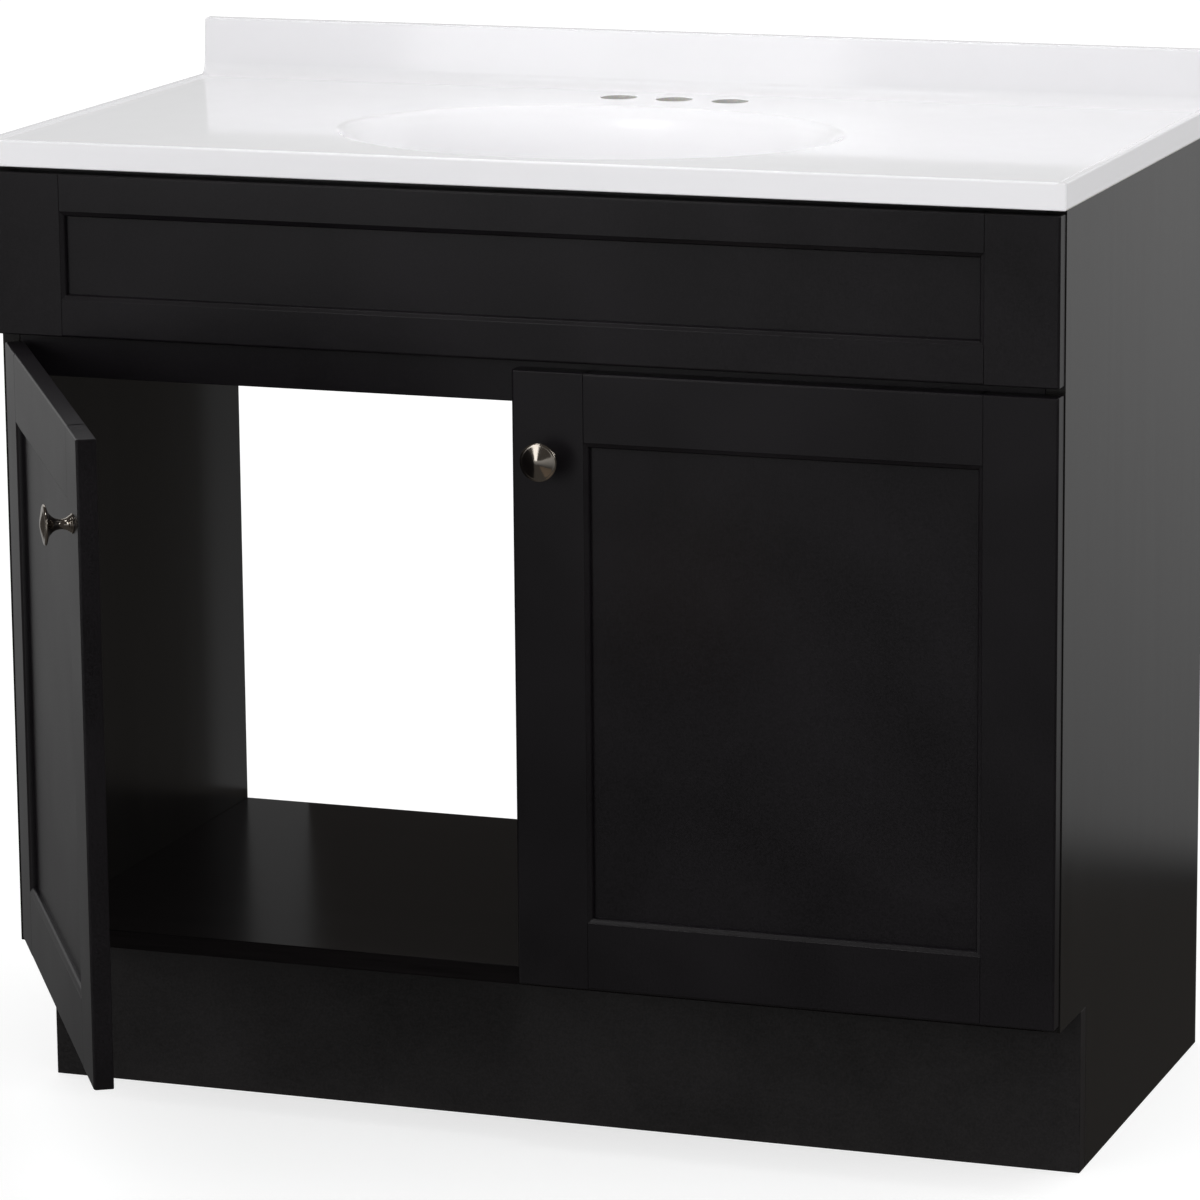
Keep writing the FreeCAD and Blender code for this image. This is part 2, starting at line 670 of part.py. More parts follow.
def vanity_top():
    """The one-piece cast top: slab, backsplash, bowl, drain hole and three tap holes."""
    inside = [(-0.05, 1.025), (0, 1.0), (0.07, 0.948), (0.18, 0.905), (0.42, 0.83)]
    inside += [(0.70, 0.68), (0.90, 0.45), (0.98, 0.26), (1.0, 0.17)]
    floor_share = 1 + BOWL_WALL / BOWL_DEPTH
    outside = [(0.09, 0.93), (0.18, 0.905), (0.42, 0.83), (0.72, 0.68)]
    outside += [(0.95, 0.45), (floor_share, 0.2)]
    shell = bowl_form(BOWL_WALL, outside)
    boss_floor = BOWL_FLOOR - DRAIN_WALL
    boss = rod(DRAIN_BOSS_RADIUS, (0, BOWL_CENTRE_Y, boss_floor), Z_AXIS, DRAIN_WALL)
    hollow = bowl_form(0, inside)
    drain = rod(DRAIN_RADIUS, (0, BOWL_CENTRE_Y, boss_floor - 1), Z_AXIS, DRAIN_WALL + 2)
    taps = [
        rod(TAP_HOLE_RADIUS, (x, -TAP_HOLE_FROM_WALL, CABINET_HEIGHT), Z_AXIS, TOP_EDGE)
        for x in (-TAP_HOLE_PITCH, 0, TAP_HOLE_PITCH)
    ]
    whole = fused([top_slab(), splash(), shell, boss])
    return less(whole, [hollow, drain, *taps])


def main():
    """Builds every node and writes one file for each."""
    os.makedirs("parts", exist_ok=True)
    nodes = {"vanity_top": vanity_top(), **carcass(), **false_front(), **doors()}
    rails = {"front_top_rail": ["false_front_screws"]}
    rails["left_side_panel"] = ["left_hinge_plate_screws"]
    rails["right_side_panel"] = ["right_hinge_plate_screws"]
    for name, fixings in rails.items():
        nodes[name] = less(nodes[name], [nodes[f] for f in fixings])
    for name, shape in sorted(nodes.items()):
        solids = shape.Solids
        if not solids or not all(s.isValid() for s in solids):
            raise ValueError(f"{name} isn't a valid solid")
        shape.exportStep(f"parts/{name}.step")
        print(name, len(solids), round(shape.Volume / 1000, 1), "cm3")
    print(len(nodes), "nodes")


main()
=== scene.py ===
"""A bathroom vanity cabinet with a cast top and bowl, built piece by piece and dressed.

Lengths are metres in the cabinet's frame: the origin is on the floor, midway across, in the plane
of the back, +X is to the right seen from the front, +Y points at the wall and +Z is up. Boards
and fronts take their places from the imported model. What is drawn here is drawn for the right-hand
side and shut, and a left-hand copy is its mirror image, swung open where it hangs on the door.
"""

from __future__ import annotations

import json
import logging
import math
from dataclasses import dataclass
from enum import Enum
from typing import Any, Callable, Iterable, Optional, Sequence, Union

import bmesh
import bpy
from mathutils import Matrix, Vector

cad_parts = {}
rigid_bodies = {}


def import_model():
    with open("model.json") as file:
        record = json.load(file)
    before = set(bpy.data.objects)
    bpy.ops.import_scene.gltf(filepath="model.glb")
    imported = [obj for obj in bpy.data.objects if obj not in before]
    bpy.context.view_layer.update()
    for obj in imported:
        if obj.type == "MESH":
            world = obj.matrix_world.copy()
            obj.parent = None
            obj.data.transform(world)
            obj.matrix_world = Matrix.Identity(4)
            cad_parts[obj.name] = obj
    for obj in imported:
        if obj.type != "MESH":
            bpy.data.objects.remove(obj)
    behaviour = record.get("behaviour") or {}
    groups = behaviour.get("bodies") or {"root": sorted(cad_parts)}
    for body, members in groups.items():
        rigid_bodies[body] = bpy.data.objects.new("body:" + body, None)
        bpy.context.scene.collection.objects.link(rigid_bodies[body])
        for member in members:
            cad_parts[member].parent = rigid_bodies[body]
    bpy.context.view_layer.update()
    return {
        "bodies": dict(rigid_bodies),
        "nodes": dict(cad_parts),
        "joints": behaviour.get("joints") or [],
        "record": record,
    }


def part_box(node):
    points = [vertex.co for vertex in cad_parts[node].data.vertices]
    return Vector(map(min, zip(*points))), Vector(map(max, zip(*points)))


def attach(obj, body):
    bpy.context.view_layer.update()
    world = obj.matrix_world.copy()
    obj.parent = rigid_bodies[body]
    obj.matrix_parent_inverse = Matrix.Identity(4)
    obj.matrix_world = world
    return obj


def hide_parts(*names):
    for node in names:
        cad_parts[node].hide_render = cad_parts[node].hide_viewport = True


LOG = logging.getLogger("vanity")
MM = 0.001
MICRON = 0.000001
TINY = 0.01 * MM
Point = tuple[float, float]
Colour = tuple[float, float, float]
Place = tuple[float, float, float]


# ---------------------------------------------------------------- shader maths
class Wire:
    """An output socket of a shader node; arithmetic on it adds Math nodes."""

    def __init__(self, graph: Graph, socket: bpy.types.NodeSocket) -> None:
        """Wraps a socket.

        Args:
            graph: the graph that holds the socket's node.
            socket: the output socket.
        """
        self.graph = graph
        self.socket = socket

    def _math(self, operation: str, first: Value, second: Value) -> Wire:
        """One Math node on two values."""
        return self.graph.add("ShaderNodeMath", {"operation": operation}, {0: first, 1: second})

    def __add__(self, other: Value) -> Wire:
        """The sum."""
        return self._math("ADD", self, other)

    __radd__ = __add__

    def __mul__(self, other: Value) -> Wire:
        """The product."""
        return self._math("MULTIPLY", self, other)

    __rmul__ = __mul__


Value = Union[Wire, float, tuple]


class Graph:
    """A node tree with one method that adds any node."""

    def __init__(self, tree: bpy.types.NodeTree) -> None:
        """Empties the tree and keeps it."""
        tree.nodes.clear()
        self.tree = tree

    def add(
        self,
        kind: str,
        settings: Optional[dict[str, Any]] = None,
        values: Optional[dict[Union[str, int], Value]] = None,
        output: Union[str, int] = 0,
    ) -> Wire:
        """Adds a node.

        Args:
            kind: the node's type name.
            settings: its properties, set before its sockets; "stops" is a ramp's stops.
            values: its inputs' values or links, by name or number.
            output: the output that is wanted.

        Returns:
            The output, wrapped.
        """
        node = self.tree.nodes.new(kind)
        for name, setting in (settings or {}).items():
            if name == "stops":
                self._set_stops(node.color_ramp, setting)
            else:
                setattr(node, name, setting)
        for name, value in (values or {}).items():
            if isinstance(value, Wire):
                self.tree.links.new(value.socket, node.inputs[name])
            else:
                node.inputs[name].default_value = value
        outputs = node.outputs
        return Wire(self, outputs[output]) if len(outputs) else Wire(self, None)

    @staticmethod
    def _set_stops(ramp: bpy.types.ColorRamp, stops: Sequence[tuple[float, float]]) -> None:
        """Gives a ramp its stops as (place, brightness)."""
        while len(ramp.elements) < len(stops):
            ramp.elements.new(0.5)
        for element, (place, level) in zip(ramp.elements, stops):
            element.position = place
            element.color = (level, level, level, 1.0)

    def coordinates(self, stretch: Sequence[float] = (1.0, 1.0, 1.0)) -> Wire:
        """The piece's own coordinates in metres, scaled along each axis by stretch."""
        place = self.add("ShaderNodeTexCoord", output="Object")
        return self.add(
            "ShaderNodeVectorMath", {"operation": "MULTIPLY"}, {0: place, 1: tuple(stretch)}
        )

    def noise(self, at: Wire, scale: float, detail: float = 3.0, warp: float = 0.0) -> Wire:
        """Cloudy noise about 0.5.

        Args:
            at: where it is read.
            scale: features to the metre.
            detail: octaves.
            warp: how far the pattern is bent.

        Returns:
            A value from 0 to 1.
        """
        values = {"Vector": at, "Scale": scale, "Detail": detail, "Distortion": warp}
        return self.add("ShaderNodeTexNoise", None, values, "Fac")

    def ramp(self, value: Wire, stops: Sequence[tuple[float, float]]) -> Wire:
        """A value passed through (place, level) stops."""
        return self.add("ShaderNodeValToRGB", {"stops": stops}, {0: value}, "Color")

    def blend(self, share: Value, first: Colour, second: Colour) -> Wire:
        """A colour between two, by a share from 0 to 1."""
        return self.add(
            "ShaderNodeMix",
            {"data_type": "RGBA"},
            {0: share, 6: (*first, 1.0), 7: (*second, 1.0)},
            2,
        )

    def relief(self, height: Wire, depth: float, strength: float) -> Wire:
        """A bumped normal from a height whose full swing is depth metres."""
        values = {"Height": height, "Distance": depth, "Strength": strength}
        return self.add("ShaderNodeBump", None, values, "Normal")

    def surface(self, values: dict[Union[str, int], Value]) -> None:
        """Ends the graph in a Principled surface with these sockets."""
        shader = self.add("ShaderNodeBsdfPrincipled", None, values)
        self.add("ShaderNodeOutputMaterial", None, {"Surface": shader})


def scaled(colour: Colour, factor: float) -> Colour:
    """A colour made lighter or darker."""
    return tuple(channel * factor for channel in colour)


# ---------------------------------------------------------------- finishes
@dataclass(frozen=True)
class Finish:
    """A surface finish with a base colour, which makes its own material."""

    label: str
    colour: Colour

    def draw(self, graph: Graph) -> None:
        """Draws the finish's nodes. Each finish has its own."""
        raise NotImplementedError

    def material(self) -> bpy.types.Material:
        """A new material with the finish's nodes."""
        material = bpy.data.materials.new(self.label)
        material.use_nodes = True
        self.draw(Graph(material.node_tree))
        return material


@dataclass(frozen=True)
class SatinPaint(Finish):
    """Sprayed satin paint over board: fine mottle, soft clouding and a light orange peel."""

    roughness: float = 0.4
    specular: float = 0.5
    mottle: float = 0.5

    def draw(self, graph: Graph) -> None:
        """Draws the paint."""
        at = graph.coordinates()
        speck = graph.noise(at, 620.0, 2.0)
        cloud = graph.noise(at, 9.0, 3.0, 0.4)
        tone = graph.ramp(speck * 0.6 + cloud * 0.4, [(0.32, 0.0), (0.68, 1.0)])
        low = scaled(self.colour, 1.0 - self.mottle)
        high = scaled(self.colour, 1.0 + self.mottle)
        peel = graph.noise(at, 420.0, 1.0)
        graph.surface(
            {
                "Base Color": graph.blend(tone, low, high),
                "Roughness": cloud * 0.08 + speck * 0.06 + (self.roughness - 0.07),
                "Specular IOR Level": self.specular,
                "Normal": graph.relief(peel, 24 * MICRON, 0.7),
            }
        )


@dataclass(frozen=True)
class GrainedLaminate(Finish):
    """Printed wood-grain laminate: fine streaks along one axis, with shallow pores."""

    grain: int = 2
    roughness: float = 0.3
    specular: float = 0.5
    contrast: float = 0.4

    def draw(self, graph: Graph) -> None:
        """Draws the laminate."""
        fine = [180.0, 180.0, 180.0]
        broad = [22.0, 22.0, 22.0]
        fine[self.grain] = 5.0
        broad[self.grain] = 1.1
        streak = graph.noise(graph.coordinates(fine), 3.2, 4.0)
        figure = graph.noise(graph.coordinates(broad), 1.6, 3.0, 1.2)
        tone = graph.ramp(streak * 0.55 + figure * 0.45, [(0.3, 0.0), (0.7, 1.0)])
        low = scaled(self.colour, 1.0 - self.contrast)
        high = scaled(self.colour, 1.0 + self.contrast)
        pore = graph.ramp(streak, [(0.36, 0.0), (0.46, 1.0)])
        graph.surface(
            {
                "Base Color": graph.blend(tone, low, high),
                "Roughness": figure * 0.06 + streak * 0.05 + (self.roughness - 0.055),
                "Specular IOR Level": self.specular,
                "Normal": graph.relief(pore, 14 * MICRON, 0.5),
            }
        )


@dataclass(frozen=True)
class GelCoat(Finish):
    """The glossy skin of a cast top: near-white, faintly clouded and not quite flat."""

    roughness: float = 0.16

    def draw(self, graph: Graph) -> None:
        """Draws the gel coat."""
        at = graph.coordinates()
        cloud = graph.noise(at, 5.0, 4.0, 0.8)
        haze = graph.noise(at, 38.0, 3.0)
        wave = graph.noise(at, 11.0, 1.0)
        tone = graph.ramp(cloud * 0.7 + haze * 0.3, [(0.3, 0.0), (0.7, 1.0)])
        graph.surface(
            {
                "Base Color": graph.blend(tone, scaled(self.colour, 0.985), self.colour),
                "Roughness": haze * 0.05 + (self.roughness - 0.025),
                "IOR": 1.52,
                "Coat Weight": 0.35,
                "Coat Roughness": 0.04,
                "Normal": graph.relief(wave, 25 * MICRON, 0.5),
            }
        )


@dataclass(frozen=True)
class RawCasting(Finish):
    """Cast marble behind its skin: chalky filler with grey and tan grit."""

    def draw(self, graph: Graph) -> None:
        """Draws the raw casting."""
        at = graph.coordinates()
        grit = graph.add("ShaderNodeTexVoronoi", None, {"Vector": at, "Scale": 900.0}, "Color")
        speck = graph.ramp(graph.noise(at, 700.0, 2.0), [(0.38, 0.0), (0.62, 1.0)])
        cloud = graph.noise(at, 16.0, 4.0, 0.6)
        base = graph.blend(cloud, scaled(self.colour, 0.86), self.colour)
        dark = graph.add(
            "ShaderNodeMix",
            {"data_type": "RGBA", "blend_type": "MULTIPLY"},
            {0: 0.16, 6: base, 7: grit},
            2,
        )
        graph.surface(
            {
                "Base Color": dark,
                "Roughness": speck * 0.15 + 0.7,
                "Normal": graph.relief(speck * 0.5 + cloud * 0.5, 300 * MICRON, 0.7),
            }
        )


@dataclass(frozen=True)
class TurnedNickel(Finish):
    """Nickel plate over a turned knob, with faint tool rings about the piece's own Z axis."""

    roughness: float = 0.11

    def draw(self, graph: Graph) -> None:
        """Draws the nickel."""
        at = graph.coordinates()
        flat = graph.coordinates((1.0, 1.0, 0.0))
        radius = graph.add("ShaderNodeVectorMath", {"operation": "LENGTH"}, {0: flat}, "Value")
        along = graph.add("ShaderNodeSeparateXYZ", None, {0: at}, "Z")
        ring_place = graph.add("ShaderNodeCombineXYZ", None, {0: radius, 1: along, 2: 0.0})
        rings = graph.noise(ring_place, 9000.0, 1.0)
        smear = graph.noise(at, 240.0, 3.0, 0.8)
        graph.surface(
            {
                "Base Color": graph.blend(smear, scaled(self.colour, 0.92), self.colour),
                "Metallic": 1.0,
                "Roughness": smear * 0.06 + rings * 0.04 + (self.roughness - 0.05),
                "Normal": graph.relief(rings, 3 * MICRON, 0.4),
            }
        )


@dataclass(frozen=True)
class ZincPlate(Finish):
    """Bright zinc plate on pressed steel: mottled, with fine drawing lines."""

    def draw(self, graph: Graph) -> None:
        """Draws the zinc."""
        at = graph.coordinates()
        spangle = graph.noise(at, 160.0, 3.0, 0.6)
        lines = graph.noise(graph.coordinates((900.0, 900.0, 60.0)), 2.0, 2.0)
        tone = graph.ramp(spangle, [(0.3, 0.0), (0.7, 1.0)])
        graph.surface(
            {
                "Base Color": graph.blend(tone, scaled(self.colour, 0.78), self.colour),
                "Metallic": 1.0,
                "Roughness": spangle * 0.14 + lines * 0.08 + 0.22,
                "Normal": graph.relief(lines, 6 * MICRON, 0.4),
            }
        )


@dataclass(frozen=True)
class SawnPine(Finish):
    """Unpainted softwood: growth bands along X with fine fibres."""

    def draw(self, graph: Graph) -> None:
        """Draws the wood."""
        bands = graph.add(
            "ShaderNodeTexWave",
            {"bands_direction": "Z"},
            {
                "Vector": graph.coordinates((0.4, 1.0, 1.0)),
                "Scale": 60.0,
                "Distortion": 5.0,
                "Detail": 3.0,
                "Detail Scale": 1.5,
            },
            "Fac",
        )
        fibre = graph.noise(graph.coordinates((30.0, 900.0, 900.0)), 1.5, 3.0)
        tone = graph.ramp(bands * 0.6 + fibre * 0.4, [(0.15, 0.0), (0.85, 1.0)])
        graph.surface(
            {
                "Base Color": graph.blend(tone, scaled(self.colour, 0.62), self.colour),
                "Roughness": fibre * 0.2 + 0.6,
                "Normal": graph.relief(fibre, 120 * MICRON, 0.6),
            }
        )


@dataclass(frozen=True)
class SoftPolymer(Finish):
    """Clear soft polymer, a little cloudy."""

    def draw(self, graph: Graph) -> None:
        """Draws the polymer."""
        haze = graph.noise(graph.coordinates(), 500.0, 2.0)
        graph.surface(
            {
                "Base Color": graph.blend(haze, scaled(self.colour, 0.85), self.colour),
                "Roughness": haze * 0.15 + 0.25,
                "Transmission Weight": 0.6,
                "IOR": 1.45,
            }
        )


@dataclass(frozen=True)
class StudioFloor(Finish):
    """A plain pale floor, lit from below, with the faintest unevenness."""

    glow: float = 0.66

    def draw(self, graph: Graph) -> None:
        """Draws the floor."""
        cloud = graph.noise(graph.coordinates(), 0.6, 2.0)
        graph.surface(
            {
                "Base Color": graph.blend(cloud, scaled(self.colour, 0.99), self.colour),
                "Roughness": cloud * 0.1 + 0.75,
                "Specular IOR Level": 0.0,
                "Emission Color": (1.0, 1.0, 1.0, 1.0),
                "Emission Strength": self.glow,
            }
        )


class Dress(Enum):
    """The finishes that the vanity's pieces take."""

    FRONT_PAINT = SatinPaint("front_paint", (0.0056, 0.0047, 0.0059), 0.33)
    SIDE_LAMINATE = GrainedLaminate("side_laminate", (0.0066, 0.0060, 0.0058), 2, 0.22)
    SHELF_LAMINATE = GrainedLaminate("shelf_laminate", (0.0050, 0.0042, 0.0044), 0, 0.22, 0.11)
    # The toe board's paint is the front paint made about twice as light. The extra lightness is
    # painted light, standing in for the light the board misses in its shaded recess under the deck.
    TOE_PAINT_WITH_PAINTED_LIGHT = SatinPaint("toe_paint_with_painted_light", (0.0108, 0.0096, 0.0100), 0.45)
    GEL_COAT = GelCoat("gel_coat", (0.828, 0.822, 0.842), 0.08)
    RAW_CASTING = RawCasting("raw_casting", (0.66, 0.65, 0.62))
    NICKEL = TurnedNickel("turned_nickel", (0.66, 0.60, 0.53))
    ZINC = ZincPlate("zinc_plate", (0.66, 0.66, 0.65))
    PINE = SawnPine("sawn_pine", (0.58, 0.42, 0.25))
    POLYMER = SoftPolymer("soft_polymer", (0.78, 0.78, 0.76))


class Slot(Enum):
    """The record's material slots."""

    TOP = "top"
    SIDE = "side"
    INTERIOR = "interior"
    FRONT = "front"
    RAW_WOOD = "raw_wood"
    NICKEL = "nickel"
    ZINC = "zinc"
    BUMPER = "bumper"


# ---------------------------------------------------------------- shapes
class Axis(Enum):
    """A row axis."""

    X = 0
    Y = 1
    Z = 2

    def place(self, first: float, second: float, along: float) -> Vector:
        """A point with `along` on this axis and the other two in X, Y, Z order."""
        spots = [first, second]
        spots.insert(self.value, along)
        return Vector(spots)


def arc(centre: Point, radius: float, start: float, end: float, steps: int) -> list[Point]:
    """Points along an arc.

    Args:
        centre: the arc's centre.
        radius: its radius.
        start: the first point's angle in degrees.
        end: the last point's angle in degrees.
        steps: how many parts the arc is cut into.

    Returns:
        steps + 1 points.
    """
    angles = [math.radians(start + (end - start) * k / steps) for k in range(steps + 1)]
    return [(centre[0] + radius * math.cos(a), centre[1] + radius * math.sin(a)) for a in angles]


def smooth_line(points: Sequence[Point], steps: int) -> list[Point]:
    """A curve through points, with `steps` parts between each two of them."""
    padded = [points[0], *points, points[-1]]
    line = []
    for p0, p1, p2, p3 in zip(padded, padded[1:], padded[2:], padded[3:]):
        for k in range(steps):
            t = k / steps
            line.append(
                tuple(
                    0.5
                    * (
                        2 * b
                        + (c - a) * t
                        + (2 * a - 5 * b + 4 * c - d) * t * t
                        + (3 * b - a - 3 * c + d) * t**3
                    )
                    for a, b, c, d in zip(p0, p1, p2, p3)
                )
            )
    return [*line, tuple(points[-1])]


class Shape:
    """A mesh in the making: its edges can be eased and other shapes bored out of it."""

    FULL_EASE = 5 * MM
    SHARP = math.radians(25)
    SMOOTH_UNDER = math.radians(38)

    def __init__(self) -> None:
        """Starts with nothing."""
        self.bm = bmesh.new()
        self.weights = self.bm.edges.layers.float.new("bevel_weight_edge")
        self.cutters: list[Shape] = []
        self.ease_steps = 4

    def ring(self, points: Iterable[Sequence[float]]) -> list[bmesh.types.BMVert]:
        """New vertices at points."""
        return [self.bm.verts.new(p) for p in points]

    def bridge(
        self,
        first: list[bmesh.types.BMVert],
        second: list[bmesh.types.BMVert],
        material: int = 0,
        closed: bool = True,
    ) -> None:
        """Joins two rings of the same count with faces.

        Args:
            first: one ring.
            second: the other.
            material: the faces' material number.
            closed: whether the last vertex joins the first.
        """
        count = len(first)
        for k in range(count if closed else count - 1):
            n = (k + 1) % count
            face = self.bm.faces.new((first[k], first[n], second[n], second[k]))
            face.material_index = material

    def fill(self, loops: Sequence[list[bmesh.types.BMVert]], material: int = 0) -> None:
        """Fills the flat area inside the first loop and outside the others."""
        edges = []
        for loop in loops:
            for a, b in zip(loop, loop[1:] + loop[:1]):
                edges.append(self.bm.edges.get((a, b)) or self.bm.edges.new((a, b)))
        made = bmesh.ops.triangle_fill(self.bm, use_beauty=True, edges=edges)
        for item in made["geom"]:
            if isinstance(item, bmesh.types.BMFace):
                item.material_index = material

    def settle(self) -> Shape:
        """Turns every face outwards."""
        bmesh.ops.recalc_face_normals(self.bm, faces=self.bm.faces)
        return self

    @classmethod
    def prism(cls, outline: Sequence[Point], axis: Axis, low: float, high: float) -> Shape:
        """An outline pushed along an axis.

        Args:
            outline: points on the other two axes, in X, Y, Z order.
            axis: the axis.
            low: where it starts.
            high: where it ends.

        Returns:
            The shape.
        """
        shape = cls()
        ends = [shape.ring(axis.place(u, v, w) for u, v in outline) for w in (low, high)]
        shape.bm.faces.new(ends[0])
        shape.bm.faces.new(ends[1])
        shape.bridge(*ends)
        return shape.settle()

    @classmethod
    def block(cls, low: Vector, high: Vector) -> Shape:
        """A board between two corners."""
        outline = [(low.x, low.y), (high.x, low.y), (high.x, high.y), (low.x, high.y)]
        return cls.prism(outline, Axis.Z, low.z, high.z)

    @classmethod
    def lathe(cls, section: Sequence[Point], steps: int = 64) -> Shape:
        """A closed section of (radius, height) turned about the Z axis.

        Args:
            section: the points in order; a radius of 0 is a pole.
            steps: vertices round it.

        Returns:
            The shape.
        """
        shape = cls()
        turns = [2 * math.pi * k / steps for k in range(steps)]
        rings = []
        for radius, height in section:
            if radius < MICRON:
                rings.append(shape.ring([(0, 0, height)]))
            else:
                points = [(radius * math.cos(t), radius * math.sin(t), height) for t in turns]
                rings.append(shape.ring(points))
        for one, other in zip(rings, rings[1:]):
            if len(one) == len(other) and len(one) > 1:
                shape.bridge(one, other)
            elif len(one) != len(other):
                pole, ring = sorted((one, other), key=len)
                for k in range(steps):
                    shape.bm.faces.new((ring[k], ring[(k + 1) % steps], pole[0]))
        if len(rings[0]) > 1 and len(rings[-1]) > 1:
            shape.bridge(rings[-1], rings[0])
        return shape.settle()

    def ease(
        self, radius: float, where: Optional[Callable[[Vector, Vector], bool]] = None
    ) -> Shape:
        """Rounds sharp edges.

        Args:
            radius: how far the rounding reaches back from the edge.
            where: tells from an edge's middle and its direction whether it is rounded.

        Returns:
            The same shape.
        """
        for edge in self.bm.edges:
            if len(edge.link_faces) != 2 or edge.calc_face_angle() < self.SHARP:
                continue
            ends = [v.co for v in edge.verts]
            middle = (ends[0] + ends[1]) / 2
            if where is None or where(middle, (ends[1] - ends[0]).normalized()):
                edge[self.weights] = radius / self.FULL_EASE
        return self

    def bore(self, cutter: Shape) -> Shape:
        """Takes another shape out of this one once its edges are rounded."""
        self.cutters.append(cutter)
        return self

    def moved(self, matrix: Matrix) -> Shape:
        """A copy under a transform, turned right side out if that mirrors it."""
        copy = Shape()
        copy._take(self)
        bmesh.ops.transform(copy.bm, matrix=matrix, verts=copy.bm.verts)
        if matrix.determinant() < 0:
            bmesh.ops.reverse_faces(copy.bm, faces=copy.bm.faces)
        copy.cutters = [cutter.moved(matrix) for cutter in self.cutters]
        copy.ease_steps = self.ease_steps
        return copy

    def _take(self, other: Shape) -> None:
        """Adds a copy of another shape's faces."""
        mesh = bpy.data.meshes.new("copy")
        other.bm.to_mesh(mesh)
        self.bm.from_mesh(mesh)
        self.weights = self.bm.edges.layers.float["bevel_weight_edge"]
        bpy.data.meshes.remove(mesh)

    def with_copies(self, others: Iterable[Shape]) -> Shape:
        """Adds other shapes, and what is bored out of them, to this one."""
        for other in others:
            self._take(other)
            self.cutters.extend(other.cutters)
        return self

    def mesh(self, name: str) -> bpy.types.Mesh:
        """The finished mesh, eased and bored.

        Args:
            name: the mesh's name.

        Returns:
            The mesh, smooth except at edges that stay sharp.
        """
        blank = self._object("blank", self)
        helpers = [blank]
        if any(edge[self.weights] > 0 for edge in self.bm.edges):
            rounding = blank.modifiers.new("ease", "BEVEL")
            rounding.limit_method = "WEIGHT"
            rounding.width = self.FULL_EASE
            rounding.segments = self.ease_steps
            rounding.use_clamp_overlap = False
            rounding.miter_outer = "MITER_ARC"
        if self.cutters:
            tool = self._object("tool", Shape().with_copies(self.cutters))
            helpers.append(tool)
            boring = blank.modifiers.new("bore", "BOOLEAN")
            boring.operation = "DIFFERENCE"
            boring.solver = "EXACT"
            boring.object = tool
        graph = bpy.context.evaluated_depsgraph_get()
        mesh = bpy.data.meshes.new_from_object(blank.evaluated_get(graph))
        for helper in helpers:
            data = helper.data
            bpy.data.objects.remove(helper)
            bpy.data.meshes.remove(data)
        mesh.name = name
        mesh.shade_smooth()
        mesh.set_sharp_from_angle(angle=self.SMOOTH_UNDER)
        return mesh

    @staticmethod
    def _object(name: str, shape: Shape) -> bpy.types.Object:
        """A scene object with a shape's plain mesh."""
        mesh = bpy.data.meshes.new(name)
        shape.bm.to_mesh(mesh)
        made = bpy.data.objects.new(name, mesh)
        bpy.context.scene.collection.objects.link(made)
        return made


# ---------------------------------------------------------------- the bench
class Bench:
    """Turns shapes into named, dressed pieces that ride on the model's bodies."""

    def __init__(self, frame: dict[str, Any]) -> None:
        """Keeps the loaded frame.
        """
        self.frame = frame
        self._materials: dict[Dress, bpy.types.Material] = {}

    def material(self, dress: Dress) -> bpy.types.Material:
        """The one material of a finish."""
        if dress not in self._materials:
            self._materials[dress] = dress.value.material()
        return self._materials[dress]

    def fit(
        self,
        shape: Shape,
        name: str,
        dresses: Sequence[Dress],
        body: str,
        slot: Slot,
        nodes: Sequence[str],
        at: Optional[Matrix] = None,
    ) -> bpy.types.Object:
        """Makes a piece.

        Args:
            shape: its shape.
            name: its name.
            dresses: its finishes, in the order of its material numbers.
            body: the body it rides on.
            slot: the record's material slot that the piece belongs to; not used.
            nodes: the CAD nodes that it stands for.
            at: its place, if the shape is drawn about its own origin.

        Returns:
            The piece.
        """
        piece = bpy.data.objects.new(name, shape.mesh(name))
        for dress in dresses:
            piece.data.materials.append(self.material(dress))
        bpy.context.scene.collection.objects.link(piece)
        if at is not None:
            piece.matrix_world = at
        normals = piece.modifiers.new("flat faces", "WEIGHTED_NORMAL")
        normals.keep_sharp = True
        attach(piece, body)
        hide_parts(*nodes)
        LOG.info("%s: %d faces on %s", name, len(piece.data.polygons), body)
        return piece

    def dress(self, node: str, dress: Dress, ease: float = 0.0) -> None:
        """Gives a carried-over CAD node its finish.

        Args:
            node: the node.
            dress: its finish.
            ease: how far its sharp edges are rounded, or 0.
        """
        kept = self.frame["nodes"][node]
        kept.data.materials.clear()
        kept.data.materials.append(self.material(dress))
        if ease:
            weld = kept.modifiers.new("weld", "WELD")
            weld.merge_threshold = 10 * MICRON
            rounding = kept.modifiers.new("ease", "BEVEL")
            rounding.limit_method = "ANGLE"
            rounding.angle_limit = math.radians(40)
            rounding.width = ease
            rounding.segments = 2
            normals = kept.modifiers.new("flat faces", "WEIGHTED_NORMAL")
            normals.keep_sharp = True
        LOG.info("%s: kept, dressed in %s", node, dress.value.label)

    @staticmethod
    def islands(node: str, frame: dict[str, Any]) -> list[tuple[Vector, Vector]]:
        """The boxes of a CAD node's separate solids.

        Args:
            node: the node.

        Returns:
            Lowest and highest corners, sorted by height and then along X and Y.
        """
        bm = bmesh.new()
        bm.from_mesh(frame["nodes"][node].data)
        bmesh.ops.remove_doubles(bm, verts=bm.verts, dist=2 * MICRON)
        left = set(bm.verts)
        boxes = []
        while left:
            stack = [left.pop()]
            found = []
            while stack:
                vert = stack.pop()
                found.append(vert.co.copy())
                for edge in vert.link_edges:
                    other = edge.other_vert(vert)
                    if other in left:
                        left.remove(other)
                        stack.append(other)
            low = Vector(min(p[k] for p in found) for k in range(3))
            high = Vector(max(p[k] for p in found) for k in range(3))
            boxes.append((low, high))
        bm.free()
        return sorted(boxes, key=lambda b: (round(b[0].z, 4), round(b[0].x, 4), b[0].y))


